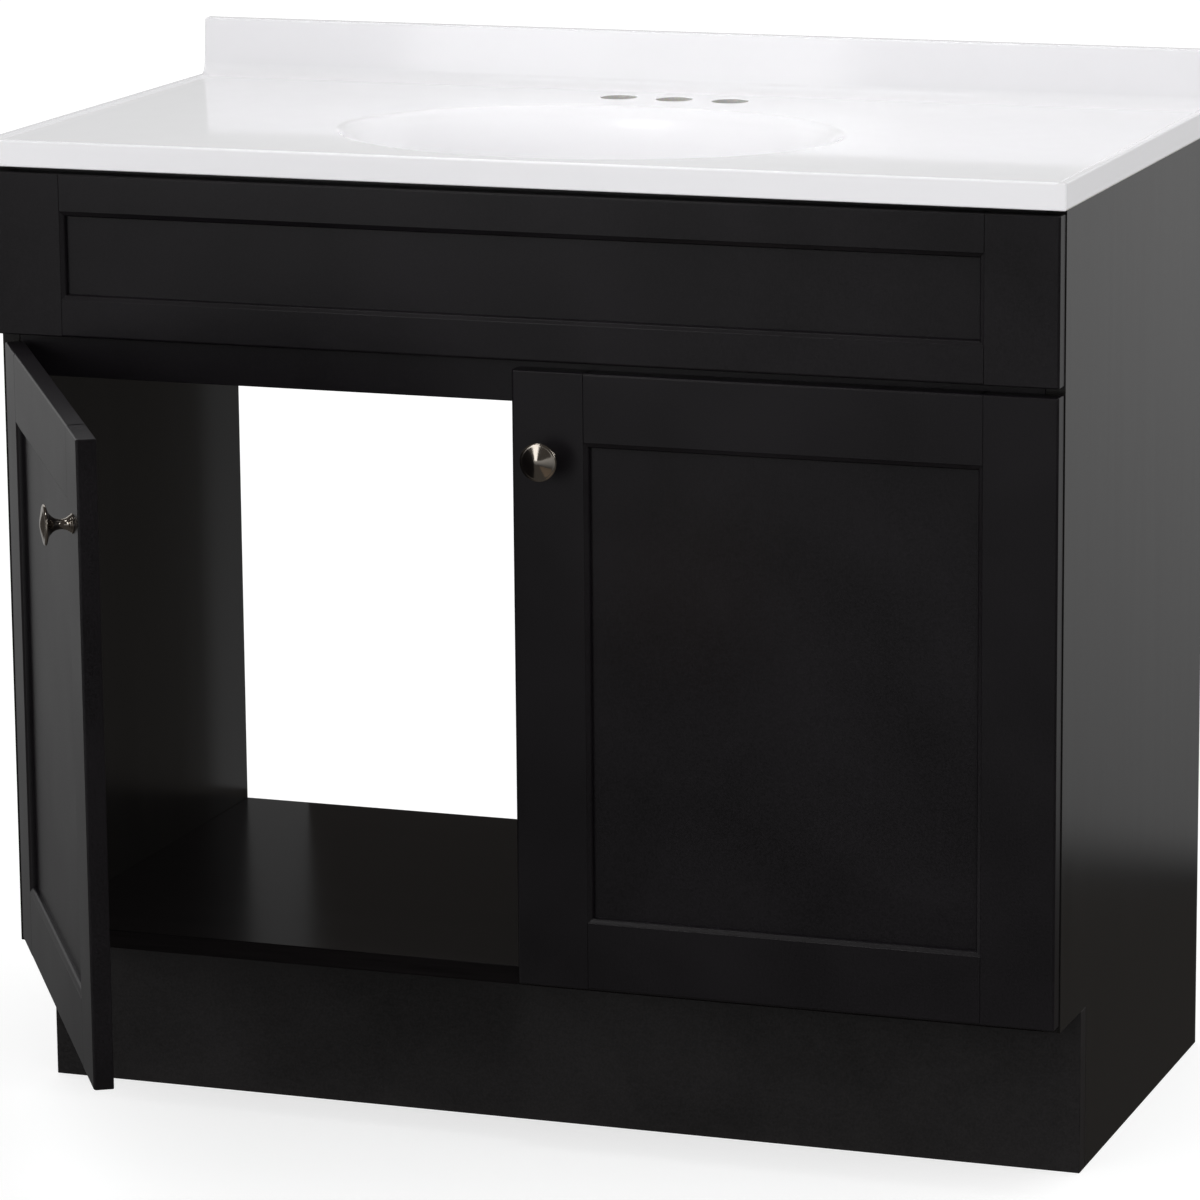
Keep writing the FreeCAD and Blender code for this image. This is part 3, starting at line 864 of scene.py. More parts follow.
MIRROR = Matrix.Scale(-1.0, 4, (1.0, 0.0, 0.0))


class Swing:
    """How the left door and its hinge links lie at rest, from the record's joints."""

    def __init__(self, frame: dict[str, Any]) -> None:
        """Reads both joints of the left door.
        """
        joints = {joint["name"]: joint for joint in frame["joints"]}
        link = joints["left_hinge_link_swing"]
        door = joints["left_door_hinge"]
        ratio = frame["record"]["behaviour"]["couplings"][0]["ratio"]
        shut_door = door["range_deg"][0]
        shut_link = shut_door * ratio
        self.link = self._turn(link, -shut_link)
        self.door = self._turn(door, -shut_door) @ self.link

    @staticmethod
    def _turn(joint: dict[str, Any], degrees: float) -> Matrix:
        """A turn about a joint's axis at rest."""
        pivot = Matrix.Translation(joint["pos_m"])
        turn = Matrix.Rotation(math.radians(degrees), 4, Vector(joint["axis"]))
        return pivot @ turn @ pivot.inverted()


# ---------------------------------------------------------------- small hardware
@dataclass
class CrossHead:
    """A screw's or cam's round head with a cross recess, drawn about +Z with its seat at 0."""

    radius: float
    height: float
    cross_depth: float = 1.4 * MM
    cross_width: float = 0.9 * MM

    def shape(self) -> Shape:
        """The head: a low dome with a soft rim and a cross cut into it."""
        r, h = self.radius, self.height
        rim = [(r * 0.97, 0.0), (r, h * 0.25), (r * 0.95, h * 0.62), (r * 0.8, h * 0.86)]
        crown = [(r * 0.5, h * 0.97), (0.0, h)]
        head = Shape.lathe([(0.0, 0.0), *smooth_line(rim + crown, 3)], 32)
        reach = r * 0.62
        half = self.cross_width / 2
        bottom = h - self.cross_depth
        corner = [(reach, -half), (reach, half), (half, half)]
        cross = []
        for _ in range(4):
            cross += corner
            corner = [(-v, u) for u, v in corner]
        return head.bore(Shape.prism(cross, Axis.Z, bottom, h + MM))


@dataclass
class Knob:
    """A turned trumpet knob, drawn about +Z with its foot on the door at 0.

    Each part of its section is (radius, height) in millimetres, from the foot outwards.
    """

    turns: int = 96
    foot: tuple[Point, ...] = (
        (0.0, 0.0),
        (7.6, 0.0),
        (7.85, 0.25),
        (7.85, 0.95),
        (7.6, 1.3),
        (7.0, 1.5),
        (6.75, 1.8),
        (6.75, 2.15),
        (6.5, 2.6),
    )
    neck: tuple[Point, ...] = (
        (6.5, 2.6),
        (5.5, 3.8),
        (4.5, 5.8),
        (4.0, 8.8),
        (4.4, 12.2),
        (5.9, 15.4),
        (9.0, 18.2),
        (12.6, 19.8),
        (14.9, 20.5),
    )
    rim: tuple[Point, ...] = (
        (14.9, 20.5),
        (15.7, 20.95),
        (15.9, 21.6),
        (15.65, 22.3),
        (15.0, 22.75),
    )
    flat: tuple[Point, ...] = ((15.0, 22.75), (14.2, 22.95), (13.4, 23.05))
    cone: tuple[Point, ...] = ((13.4, 23.05), (9.0, 24.1), (4.5, 25.05), (1.6, 25.45), (0.0, 25.5))

    def shape(self) -> Shape:
        """The knob: a beaded foot, a waisted neck, a rolled rim and a shallow cone of a face."""
        section = list(self.foot)
        for part, steps in ((self.neck, 6), (self.rim, 4), (self.flat, 3), (self.cone, 6)):
            section += smooth_line(part, steps)[1:]
        return Shape.lathe([(r * MM, h * MM) for r, h in section], self.turns)


# ---------------------------------------------------------------- the cast top
@dataclass
class CastTop:
    """The one-piece top: a slab with a drip lip, a coved backsplash, a bowl and tap holes."""

    bench: Bench
    edge: float = 22.2 * MM
    lip_height: float = 2.0 * MM
    arris: float = 2.0 * MM
    end_arris: float = 1.6 * MM
    field_thickness: float = 14.0 * MM
    rim: float = 22.0 * MM
    draft: float = 3.0 * MM
    splash_foot: float = 15.0 * MM
    splash_top: float = 11.5 * MM
    cove: float = 13.0 * MM
    bowl_y: float = -279.2 * MM
    bowl_half_width: float = 214.0 * MM
    bowl_half_depth: float = 162.0 * MM
    bowl_depth: float = 130.6 * MM
    wall: float = 10.0 * MM
    drain_radius: float = 22.2 * MM
    boss_radius: float = 40.0 * MM
    tap_radius: float = 15.9 * MM
    tap_pitch: float = 50.8 * MM
    tap_y: float = -62.0 * MM
    turns: int = 192
    foot_arris: float = 1.6 * MM
    splash_arris: float = 2.0 * MM
    splash_back_arris: float = 1.5 * MM
    back_arris: float = 0.8 * MM
    tap_chamfer: float = 0.5 * MM
    flat_cell: float = 1e-13
    bowl_profile: tuple[Point, ...] = (
        (1.026, 0.0),
        (1.016, 0.1),
        (1.006, 0.55),
        (0.996, 1.5),
        (0.984, 3.4),
        (0.968, 7.2),
        (0.945, 13.0),
        (0.905, 26.5),
        (0.83, 55.0),
        (0.68, 91.4),
        (0.45, 117.5),
        (0.27, 127.6),
        (0.18, 129.6),
    )
    drain_flare: tuple[Point, ...] = ((1.25, 0.0), (1.08, 0.2), (1.0, 1.4))
    shell_profile: tuple[Point, ...] = ((0.905, 24.0), (0.83, 56.0), (0.68, 96.0), (0.45, 124.0))
    shell_top: float = 0.935
    shell_foot: float = 0.24
    lip_slope: tuple[Point, ...] = (
        (5.0, 2.0),
        (5.7, 1.95),
        (6.6, 1.68),
        (7.6, 1.18),
        (8.6, 0.62),
        (9.7, 0.2),
        (11.0, 0.0),
    )

    def build(self) -> None:
        """Makes the top."""
        low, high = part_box("vanity_top")
        self.half = high.x
        self.front = low.y
        self.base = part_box("left_side_panel")[1].z
        self.surface = self.base + self.edge
        self.level = self.surface - self.lip_height
        self.ceiling = self.level - self.field_thickness
        self.crest = high.z
        self.foot = low.z
        shape = Shape()
        field_corners, relief_corners = self._slab(shape)
        rim, drain_top = self._bowl(shape)
        shell, drain_foot = self._shell(shape)
        shape.bridge(drain_top, drain_foot, 1)
        taps = [self._tap(shape, x) for x in (-self.tap_pitch, 0.0, self.tap_pitch)]
        shape.fill([field_corners, rim, *(top for top, _ in taps)])
        shape.fill([relief_corners, shell, *(foot for _, foot in taps)], 1)
        shape.settle()
        dresses = (Dress.GEL_COAT, Dress.RAW_CASTING)
        self.bench.fit(shape, "cast_top", dresses, "cabinet", Slot.TOP, ["vanity_top"])

    def _section(self) -> list[tuple[float, float, float, float, str]]:
        """The slab and backsplash seen from the end: (y, z, normal y, normal z, zone)."""
        f, b, t = self.front, self.base, self.surface
        foot, top, back = self.foot_arris, self.arris, self.back_arris
        nose, nose_back = self.splash_arris, self.splash_back_arris
        points: list[tuple[float, float, float, float, str]] = []

        def turn(
            centre: Point, radius: float, start: float, end: float, steps: int, zone: str
        ) -> None:
            """Adds an arc.

            Args:
                centre: its centre.
                radius: its radius, below 0 where the outward side is the centre's.
                start: its first angle in degrees.
                end: its last angle in degrees.
                steps: how many parts it has.
                zone: the part of the top that it belongs to.
            """
            for k in range(steps + 1):
                a = math.radians(start + (end - start) * k / steps)
                y, z = math.cos(a), math.sin(a)
                reach = abs(radius)
                side = 1 if radius > 0 else -1
                points.append(
                    (centre[0] + reach * y, centre[1] + reach * z, side * y, side * z, zone)
                )

        turn((f + foot, b + foot), foot, 270, 180, 4, "edge")
        turn((f + top, t - top), top, 180, 90, 5, "lip")
        for offset, height in self.lip_slope:
            points.append((f + offset * MM, self.level + height * MM, 0.0, 1.0, "lip"))
        cove = (-self.splash_foot - self.cove, self.level + self.cove)
        turn(cove, -self.cove, 270, 355, 9, "lip")
        turn((nose - self.splash_top, self.crest - nose), nose, 178, 90, 5, "splash")
        turn((-nose_back, self.crest - nose_back), nose_back, 90, 0, 4, "splash")
        turn((-back, b + back), back, 0, -90, 3, "back")
        points.append((-self.rim, b, 0.0, -1.0, "under"))
        points.append((-self.rim - self.draft, self.ceiling, 0.0, -1.0, "relief"))
        points.append((f + self.rim + self.draft, self.ceiling, 0.0, -1.0, "relief"))
        points.append((f + self.rim, b, 0.0, -1.0, "under"))
        return points

    def _stations(self) -> list[tuple[float, float, float, bool]]:
        """Places across the top from the left end: (x, inset, lip height, inside the relief)."""
        ends = []
        steps = 4
        for k in range(steps + 1):
            angle = math.pi / 2 * k / steps
            offset = self.end_arris * (1 - math.cos(angle))
            inset = self.end_arris * (1 - math.sin(angle))
            ends.append((offset, inset, self.lip_height, False))
        ends += [(o * MM, 0.0, h * MM, False) for o, h in self.lip_slope]
        ends += [(self.rim, 0.0, 0.0, False), (self.rim + self.draft, 0.0, 0.0, True)]
        left = [(-self.half + o, *rest) for o, *rest in ends]
        return left + [(-x, *rest) for x, *rest in reversed(left)]

    def _slab(self, shape: Shape) -> tuple[list, list]:
        """Adds the slab and backsplash, open where the field and the underside are filled.

        Args:
            shape: takes the faces.

        Returns:
            The corners of the two openings.
        """
        section = self._section()
        stations = self._stations()
        rows = []
        for x, inset, lip, hollow in stations:
            row = []
            for y, z, ny, nz, zone in section:
                if zone == "lip" and z < self.level + lip:
                    z, ny, nz = self.level + lip, 0.0 if y > self.front + self.arris else ny, nz
                if zone == "relief" and not hollow:
                    z = self.base
                row.append(shape.bm.verts.new((x, y - ny * inset, z - nz * inset)))
            rows.append(row)
        count = len(section)
        field_at = next(k for k in range(count) if section[k][0] > -self.splash_foot * 2.2)
        field_from = field_at - 1
        relief_from = next(k for k in range(count) if section[k][4] == "relief")
        middle = len(stations) // 2 - 1
        raw = {"back", "under", "relief"}
        for i in range(len(stations) - 1):
            for j in range(count):
                n = (j + 1) % count
                if i == middle and j in (field_from, relief_from):
                    continue
                corners = [rows[i][j], rows[i + 1][j], rows[i + 1][n], rows[i][n]]
                material = 1 if section[j][4] in raw else 0
                self._patch(shape, corners, material, section[j][4] in raw)
        for row in (rows[0], rows[-1]):
            shape.bm.faces.new(row)

        def opening(j: int) -> list:
            """The four corners of the cell left open at section point j."""
            here, there = rows[middle], rows[middle + 1]
            return [here[j], there[j], there[j + 1], here[j + 1]]

        return opening(field_from), opening(relief_from)

    @staticmethod
    def _patch(shape: Shape, corners: list, material: int, keep_high: bool) -> None:
        """Adds one cell, split along the crease if it isn't flat."""
        a, b, c, d = (v.co for v in corners)
        twist = abs((b - a).cross(d - a).dot(c - a))
        if twist < CastTop.flat_cell:
            faces = [corners]
        else:
            first_crease = ((a + c) / 2).z < ((b + d) / 2).z
            if first_crease != keep_high:
                faces = [corners[:3], [corners[0], *corners[2:]]]
            else:
                faces = [[corners[0], corners[1], corners[3]], corners[1:]]
        for corner_list in faces:
            face = shape.bm.faces.new(corner_list)
            face.material_index = material

    def _oval(self, half_width: float, half_depth: float, z: float) -> list[Vector]:
        """Points round an oval about the bowl's centre."""
        return [
            Vector(
                (
                    half_width * math.cos(2 * math.pi * k / self.turns),
                    self.bowl_y + half_depth * math.sin(2 * math.pi * k / self.turns),
                    z,
                )
            )
            for k in range(self.turns)
        ]

    def _bowl(self, shape: Shape) -> tuple[list, list]:
        """Adds the bowl's inside from its rolled rim to the drain.

        Args:
            shape: takes the faces.

        Returns:
            The rim's ring and the ring at the top of the drain hole.
        """
        rings = []
        for share, depth in smooth_line(self.bowl_profile, 4):
            oval = self._oval(
                self.bowl_half_width * share, self.bowl_half_depth * share, self.level - depth * MM
            )
            rings.append(shape.ring(oval))
        floor = self.level - self.bowl_depth
        for share, drop in self.drain_flare:
            reach = self.drain_radius * share
            rings.append(shape.ring(self._oval(reach, reach, floor - drop * MM)))
        for one, other in zip(rings, rings[1:]):
            shape.bridge(one, other)
        return rings[0], rings[-1]

    def _shell(self, shape: Shape) -> tuple[list, list]:
        """Adds the bowl's outside and the boss round the drain.

        Args:
            shape: takes the faces.

        Returns:
            The ring at the slab's underside and the ring at the foot of the drain hole.
        """
        floor = self.level - self.bowl_depth - self.wall
        profile = [(self.shell_top, self.ceiling)]
        profile += [(share, self.level - depth * MM) for share, depth in self.shell_profile]
        profile += [(self.shell_foot, floor)]
        rings = []
        for share, z in smooth_line(profile, 4):
            wide = self.bowl_half_width * share + self.wall
            deep = self.bowl_half_depth * share + self.wall
            rings.append(shape.ring(self._oval(wide, deep, z)))
        reach = self.boss_radius
        steps = ((reach + 3 * MM, floor), (reach, floor - 2 * MM), (reach, self.foot + MM))
        steps += ((reach - MM, self.foot), (self.drain_radius, self.foot))
        for radius, z in steps:
            rings.append(shape.ring(self._oval(radius, radius, z)))
        for one, other in zip(rings, rings[1:]):
            shape.bridge(one, other, 1)
        return rings[0], rings[-1]

    def _tap(self, shape: Shape, x: float) -> tuple[list, list]:
        """Adds one tap hole's wall and returns its upper and lower rings."""
        rings = []
        for radius, z in (
            (self.tap_radius + self.tap_chamfer, self.level),
            (self.tap_radius, self.level - self.tap_chamfer),
            (self.tap_radius, self.ceiling),
        ):
            spots = arc((x, self.tap_y), radius, 0, 360, 64)[:-1]
            rings.append(shape.ring((u, v, z) for u, v in spots))
        shape.bridge(rings[0], rings[1])
        shape.bridge(rings[1], rings[2], 1)
        return rings[0], rings[2]


# ---------------------------------------------------------------- the carcass
@dataclass
class Carcass:
    """The cabinet's boards, glue blocks and knock-down fittings."""

    bench: Bench
    ease: float = 0.7 * MM
    block_ease: float = 0.8 * MM
    cam_height: float = 0.6 * MM
    cam_slot_depth: float = 0.5 * MM
    cam_slot_width: float = 1.6 * MM
    screw_hole: float = 2.5 * MM
    countersink_lip: float = 0.2 * MM

    def build(self) -> None:
        """Makes every fixed board and fitting."""
        self._sides()
        self._boards()
        self._blocks()
        self._cams()
        self.bench.dress("carcass_cam_bolts", Dress.ZINC)
        self.bench.dress("carcass_dowels", Dress.PINE)

    def _sides(self) -> None:
        """The two sides, notched at the foot for the toe-kick board."""
        low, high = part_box("right_side_panel")
        notch_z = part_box("deck_panel")[0].z
        notch_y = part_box("toe_kick_board")[1].y
        outline = [(high.y, low.z), (high.y, high.z), (low.y, high.z), (low.y, notch_z)]
        outline += [(notch_y, notch_z), (notch_y, low.z)]
        side = Shape.prism(outline, Axis.X, low.x, high.x).ease(self.ease)
        for hand, matrix in (("right", Matrix.Identity(4)), ("left", MIRROR)):
            node = f"{hand}_side_panel"
            shape = side.moved(matrix)
            name = f"{hand}_side_board"
            self.bench.fit(shape, name, [Dress.SIDE_LAMINATE], "cabinet", Slot.SIDE, [node])

    def _boards(self) -> None:
        """The boards that run across."""
        for node, dress, slot in (
            ("deck_panel", Dress.SHELF_LAMINATE, Slot.INTERIOR),
            # the toe board takes the lighter paint, whose extra lightness is painted light for its
            # shaded recess
            ("toe_kick_board", Dress.TOE_PAINT_WITH_PAINTED_LIGHT, Slot.FRONT),
            ("rear_base_rail", Dress.SHELF_LAMINATE, Slot.INTERIOR),
            ("front_top_rail", Dress.FRONT_PAINT, Slot.INTERIOR),
            ("back_top_rail", Dress.SHELF_LAMINATE, Slot.INTERIOR),
        ):
            low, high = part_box(node)
            board = Shape.block(low, high).ease(self.ease)
            if node == "back_top_rail":
                for x in self._wall_screws():
                    board.bore(self._countersunk(x, low, high))
            self.bench.fit(board, f"{node}_wood", [dress], "cabinet", slot, [node])

    def _wall_screws(self) -> tuple[float, float]:
        """Where the wall screws pass through the back rail, along X."""
        mounts = {mount["name"]: mount for mount in self.bench.frame["record"]["mounts"]}
        half = mounts["wall_screw_holes"]["dims"]["spacing_x_mm"] * MM / 2
        return -half, half

    def _countersunk(self, x: float, low: Vector, high: Vector) -> Shape:
        """A cutter for a screw hole through the back rail, countersunk inside."""
        r, depth = self.screw_hole, high.y - low.y
        section = [(0.0, -MM), (r * 2, -MM), (r * 2, self.countersink_lip), (r, r)]
        tool = Shape.lathe([*section, (r, depth + MM), (0.0, depth + MM)], 24)
        middle = Vector((x, low.y, (low.z + high.z) / 2))
        return tool.moved(Matrix.Translation(middle) @ Matrix.Rotation(-math.pi / 2, 4, "X"))

    def _blocks(self) -> None:
        """The triangular glue blocks in the upper corners."""
        for end in ("front", "back"):
            low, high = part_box(f"right_{end}_corner_block")
            wall_y = low.y if end == "front" else high.y
            far_y = high.y if end == "front" else low.y
            outline = [(high.x, wall_y), (low.x, wall_y), (high.x, far_y)]
            block = Shape.prism(outline, Axis.Z, low.z, high.z).ease(self.block_ease)
            for hand, matrix in (("right", Matrix.Identity(4)), ("left", MIRROR)):
                node = f"{hand}_{end}_corner_block"
                name = f"{hand}_{end}_glue_block"
                shape = block.moved(matrix)
                self.bench.fit(shape, name, [Dress.PINE], "cabinet", Slot.RAW_WOOD, [node])

    def _cams(self) -> None:
        """The cams' heads, seated in the boards' hidden faces."""
        heads = Shape()
        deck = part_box("deck_panel")
        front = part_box("front_top_rail")
        for low, high in self.bench.islands("carcass_cams", self.bench.frame):
            size = high - low
            radius = max(size) / 2
            centre = (low + high) / 2
            slot = (self.cam_slot_depth, self.cam_slot_width)
            head = CrossHead(radius, self.cam_height, *slot).shape()
            lies_flat = size.z < 1.9 * radius
            if lies_flat and deck[0].z < centre.z < deck[1].z:
                seat, turn = Vector((centre.x, centre.y, low.z)), Matrix.Rotation(math.pi, 4, "X")
            elif centre.y < front[1].y:
                seat = Vector((centre.x, high.y, centre.z))
                turn = Matrix.Rotation(-math.pi / 2, 4, "X")
            else:
                seat = Vector((centre.x, low.y, centre.z))
                turn = Matrix.Rotation(math.pi / 2, 4, "X")
            heads.with_copies([head.moved(Matrix.Translation(seat) @ turn)])
        self.bench.fit(heads, "cam_heads", [Dress.ZINC], "cabinet", Slot.ZINC, ["carcass_cams"])


# ---------------------------------------------------------------- framed fronts
@dataclass
class FramedFront:
    """Two stiles and two rails with bevelled sticking round a flat panel."""

    bench: Bench
    sticking: float = 4.5 * MM
    outer_ease: float = 2.2 * MM
    back_ease: float = 1.0 * MM
    joint_ease: float = 0.8 * MM
    joint_gap: float = 0.35 * MM
    joint_depth: float = 1.6 * MM
    panel_ease: float = 0.4 * MM
    screw_head_height: float = 2.2 * MM
    screw_seat: float = 2.5 * MM
    slope: tuple[Point, ...] = (
        (0.0, 0.0),
        (0.55, 0.5),
        (2.9, 1.3),
        (3.6, 1.75),
        (4.1, 2.55),
        (4.4, 3.5),
        (4.5, 4.6),
    )

    def _profile(self, width: float, thickness: float) -> list[Point]:
        """A stile's or rail's section: across from its outer edge, back from its face."""
        inner = width + self.sticking
        bevel = [(width + across * MM, back * MM) for across, back in self.slope]
        return [(0.0, 0.0), *bevel, (inner, thickness), (0.0, thickness)]

    def _eased(self, shape: Shape, face: float, across: Callable[[Vector], float]) -> Shape:
        """Rounds a stile's or rail's outer edges, the front one most.

        Args:
            shape: the stile or rail.
            face: the place of its face along Y.
            across: gives a point's distance from the outer edge.

        Returns:
            The same shape.
        """
        shape.ease(self.back_ease, lambda m, d: across(m) < TINY and m.y > face + TINY)
        shape.ease(self.outer_ease, lambda m, d: across(m) < TINY and m.y < face + TINY)
        return shape

    def shapes(self, names: dict[str, str]) -> dict[str, Shape]:
        """The five pieces.

        Args:
            names: the CAD node for each of left_stile, right_stile, bottom_rail, top_rail, panel.

        Returns:
            A shape for each of those keys.
        """
        left_box, right_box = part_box(names["left_stile"]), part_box(names["right_stile"])
        rail_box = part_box(names["bottom_rail"])
        left, right = left_box[0].x, right_box[1].x
        bottom, top = left_box[0].z, left_box[1].z
        face, back = left_box[0].y, left_box[1].y
        stile_width = left_box[1].x - left - self.sticking
        rail_width = rail_box[1].z - bottom - self.sticking
        joints = (left + stile_width, right - stile_width)
        made: dict[str, Shape] = {}
        profile = self._profile(stile_width, back - face)
        for key, edge, sign in (("left_stile", left, 1), ("right_stile", right, -1)):
            outline = [(edge + sign * a, face + b) for a, b in profile]
            made[key] = self._stile(outline, (bottom, top), face, edge, sign)
        profile = self._profile(rail_width, back - face)
        for key, edge, sign in (("bottom_rail", bottom, 1), ("top_rail", top, -1)):
            outline = [(face + b, edge + sign * a) for a, b in profile]
            made[key] = self._rail(outline, joints, face, edge, sign)
        for low, high in ((bottom - MM, bottom + rail_width), (top - rail_width, top + MM)):
            for end in (joints[0], joints[1] - self.joint_gap):
                near = Vector((end, face - MM, low))
                far = Vector((end + self.joint_gap, face + self.joint_depth, high))
                for shape in made.values():
                    shape.bore(Shape.block(near, far))
        made["panel"] = Shape.block(*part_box(names["panel"])).ease(self.panel_ease)
        return made

    def _stile(
        self, outline: list[Point], ends: Point, face: float, edge: float, sign: int
    ) -> Shape:
        """A stile with its outer edges and ends eased.

        Args:
            outline: its section in X and Y.
            ends: where it starts and ends along Z.
            face: the place of its face along Y.
            edge: the place of its outer edge along X.
            sign: 1 if its inner edge is to the right, -1 if to the left.

        Returns:
            The stile.
        """
        bottom, top = ends

        def at_end(middle: Vector) -> bool:
            """Whether an edge lies on the stile's upper or lower end."""
            return middle.z > top - TINY or middle.z < bottom + TINY

        stile = Shape.prism(outline, Axis.Z, bottom, top)
        stile.ease(self.back_ease, lambda m, d: at_end(m) and m.y > face + TINY)
        self._eased(stile, face, lambda m: sign * (m.x - edge))
        return stile.ease(
            self.outer_ease, lambda m, d: at_end(m) and m.y < face + TINY and abs(d.x) > 0.9
        )

    def _rail(
        self, outline: list[Point], ends: Point, face: float, edge: float, sign: int
    ) -> Shape:
        """A rail with its outer edges eased and its ends eased at the face.

        Args:
            outline: its section in Y and Z.
            ends: where it starts and ends along X.
            face: the place of its face along Y.
            edge: the place of its outer edge along Z.
            sign: 1 if its inner edge is above, -1 if below.

        Returns:
            The rail.
        """
        rail = Shape.prism(outline, Axis.X, *ends)
        self._eased(rail, face, lambda m: sign * (m.z - edge))
        return rail.ease(self.joint_ease, lambda m, d: m.y < face + TINY and abs(d.z) > 0.9)

    def build_false_front(self) -> None:
        """The fixed front above the doors."""
        keys = ("left_stile", "right_stile", "bottom_rail", "top_rail", "panel")
        names = {key: f"false_front_{key}" for key in keys}
        for key, shape in self.shapes(names).items():
            name = f"apron_{key}"
            node = names[key]
            self.bench.fit(shape, name, [Dress.FRONT_PAINT], "cabinet", Slot.FRONT, [node])
        screws = Shape()
        for low, high in self.bench.islands("false_front_screws", self.bench.frame):
            centre = (low + high) / 2
            head = CrossHead((high.x - low.x) / 2, self.screw_head_height)
            seat = Matrix.Translation((centre.x, high.y - self.screw_seat, centre.z))
            screws.with_copies([head.shape().moved(seat @ Matrix.Rotation(-math.pi / 2, 4, "X"))])
        nodes = ["false_front_screws"]
        self.bench.fit(screws, "apron_screw_heads", [Dress.ZINC], "cabinet", Slot.ZINC, nodes)


# ---------------------------------------------------------------- doors and hinges
@dataclass
class Door:
    """A framed door with its knob and the parts of its hinges that travel with it."""

    bench: Bench
    hand: str
    swing: Matrix
    cup_radius: float = 17.5 * MM
    cup_depth: float = 11.5 * MM
    cup_wall: float = 0.8 * MM
    cup_lip: float = 0.7 * MM
    cup_bend: float = 3.0 * MM
    cup_clearance: float = 0.05 * MM
    lip_ease: float = 0.3 * MM
    wing: float = 1.0 * MM
    wing_width: float = 14.0 * MM
    knob_screw_head: float = 2.2 * MM
    cup_screw_head: float = 1.0 * MM
    screw_cross_width: float = 0.8 * MM
    screw_cross_depth: float = 1.2 * MM

    def __post_init__(self) -> None:
        """Names the door's body and works out where right-hand shapes go."""
        self.body = f"{self.hand}_door"
        self.place = self.swing if self.hand == "right" else self.swing @ MIRROR

    def build(self) -> None:
        """Makes the door."""
        names = {
            "left_stile": "right_door_knob_stile",
            "right_stile": "right_door_hinge_stile",
            "bottom_rail": "right_door_bottom_rail",
            "top_rail": "right_door_top_rail",
            "panel": "right_door_panel",
        }
        shapes = FramedFront(self.bench).shapes(names)
        for low, high in self.bench.islands("right_hinge_cups", self.bench.frame):
            shapes["right_stile"].bore(self._pocket(low, high))
        for key, shape in shapes.items():
            node = names[key].replace("right_", f"{self.hand}_", 1)
            name = node.replace("_stile", "_stile_wood").replace("_rail", "_rail_wood")
            name = name.replace("_door_panel", "_door_panel_wood")
            self._fit(shape, name, Dress.FRONT_PAINT, Slot.FRONT, node)
        self._knob()
        self._cups()
        self._screws()
        self._bumpers()
        self.bench.dress(f"{self.hand}_hinge_cup_pins", Dress.ZINC)

    def _fit(self, shape: Shape, name: str, dress: Dress, slot: Slot, node: str) -> None:
        """Fits a right-hand shape to this door."""
        self.bench.fit(shape.moved(self.place), name, [dress], self.body, slot, [node])

    def _cup_centre(self, low: Vector, high: Vector) -> Vector:
        """The middle of a cup's mouth, in the plane of the door's back."""
        return Vector((high.x - self.cup_radius, high.y - self.wing, (low.z + high.z) / 2))

    def _outward(self, spot: Vector) -> Matrix:
        """A place on the door's back, with +Z into the cabinet."""
        return Matrix.Translation(spot) @ Matrix.Rotation(-math.pi / 2, 4, "X")

    def _pocket(self, low: Vector, high: Vector) -> Shape:
        """A cutter for the pocket that a cup sits in."""
        r, deep = self.cup_radius, self.cup_depth
        section = [(0.0, -deep), (r, -deep), (r, 2 * MM), (0.0, 2 * MM)]
        return Shape.lathe(section, 48).moved(self._outward(self._cup_centre(low, high)))

    def _knob(self) -> None:
        """The knob, drawn about its own axis."""
        low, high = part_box("right_door_knob")
        spot = Vector(((low.x + high.x) / 2, high.y, (low.z + high.z) / 2))
        if self.hand == "left":
            spot = MIRROR @ spot
        at = self.swing @ Matrix.Translation(spot) @ Matrix.Rotation(math.pi / 2, 4, "X")
        node = f"{self.hand}_door_knob"
        name = f"{self.hand}_trumpet_knob"
        self.bench.fit(Knob().shape(), name, [Dress.NICKEL], self.body, Slot.NICKEL, [node], at)

    def _cups(self) -> None:
        """The pressed cups with their screw wings."""
        cups = Shape()
        r = self.cup_radius - self.cup_clearance
        mouth = [(0.0, -MM), (r - self.cup_wall, -MM), (r - self.cup_wall, 3 * MM), (0.0, 3 * MM)]
        for low, high in self.bench.islands("right_hinge_cups", self.bench.frame):
            centre = self._cup_centre(low, high)
            dish = Shape.lathe(self._dish_section(r), 64).moved(self._outward(centre))
            wing = Shape.prism(self._wing_outline(low, high), Axis.Y, centre.y, high.y)
            wing.ease(self.lip_ease)
            wing.bore(Shape.lathe(mouth, 64).moved(self._outward(centre)))
            cups.with_copies([dish, self._finished(wing)])
        name = f"{self.hand}_cup_dishes"
        self._fit(cups, name, Dress.ZINC, Slot.ZINC, f"{self.hand}_hinge_cups")

    def _dish_section(self, radius: float) -> list[Point]:
        """A cup's section, out along its underside, over its lip and back along its inside."""
        deep, lip = self.cup_depth - self.cup_clearance, self.cup_lip
        wall, bend, ease = self.cup_wall, self.cup_bend, self.lip_ease
        corner = (radius - bend, bend - deep)
        section = [(0.0, -deep), (radius - bend, -deep)]
        section += arc(corner, bend, -90, 0, 4)[1:]
        section += [(radius, lip - ease), (radius - ease, lip), (radius - wall, lip)]
        section += [(radius - wall - 0.2 * MM, lip - ease)]
        section += arc(corner, bend - wall, 0, -90, 4)
        return [*section, (0.0, wall - deep)]

    @staticmethod
    def _finished(shape: Shape) -> Shape:
        """A shape whose easing and boring are done, so that it can join others."""
        done = Shape()
        mesh = shape.mesh("finished")
        done.bm.from_mesh(mesh)
        done.weights = done.bm.edges.layers.float["bevel_weight_edge"]
        for edge in done.bm.edges:
            edge[done.weights] = 0.0
        bpy.data.meshes.remove(mesh)
        return done

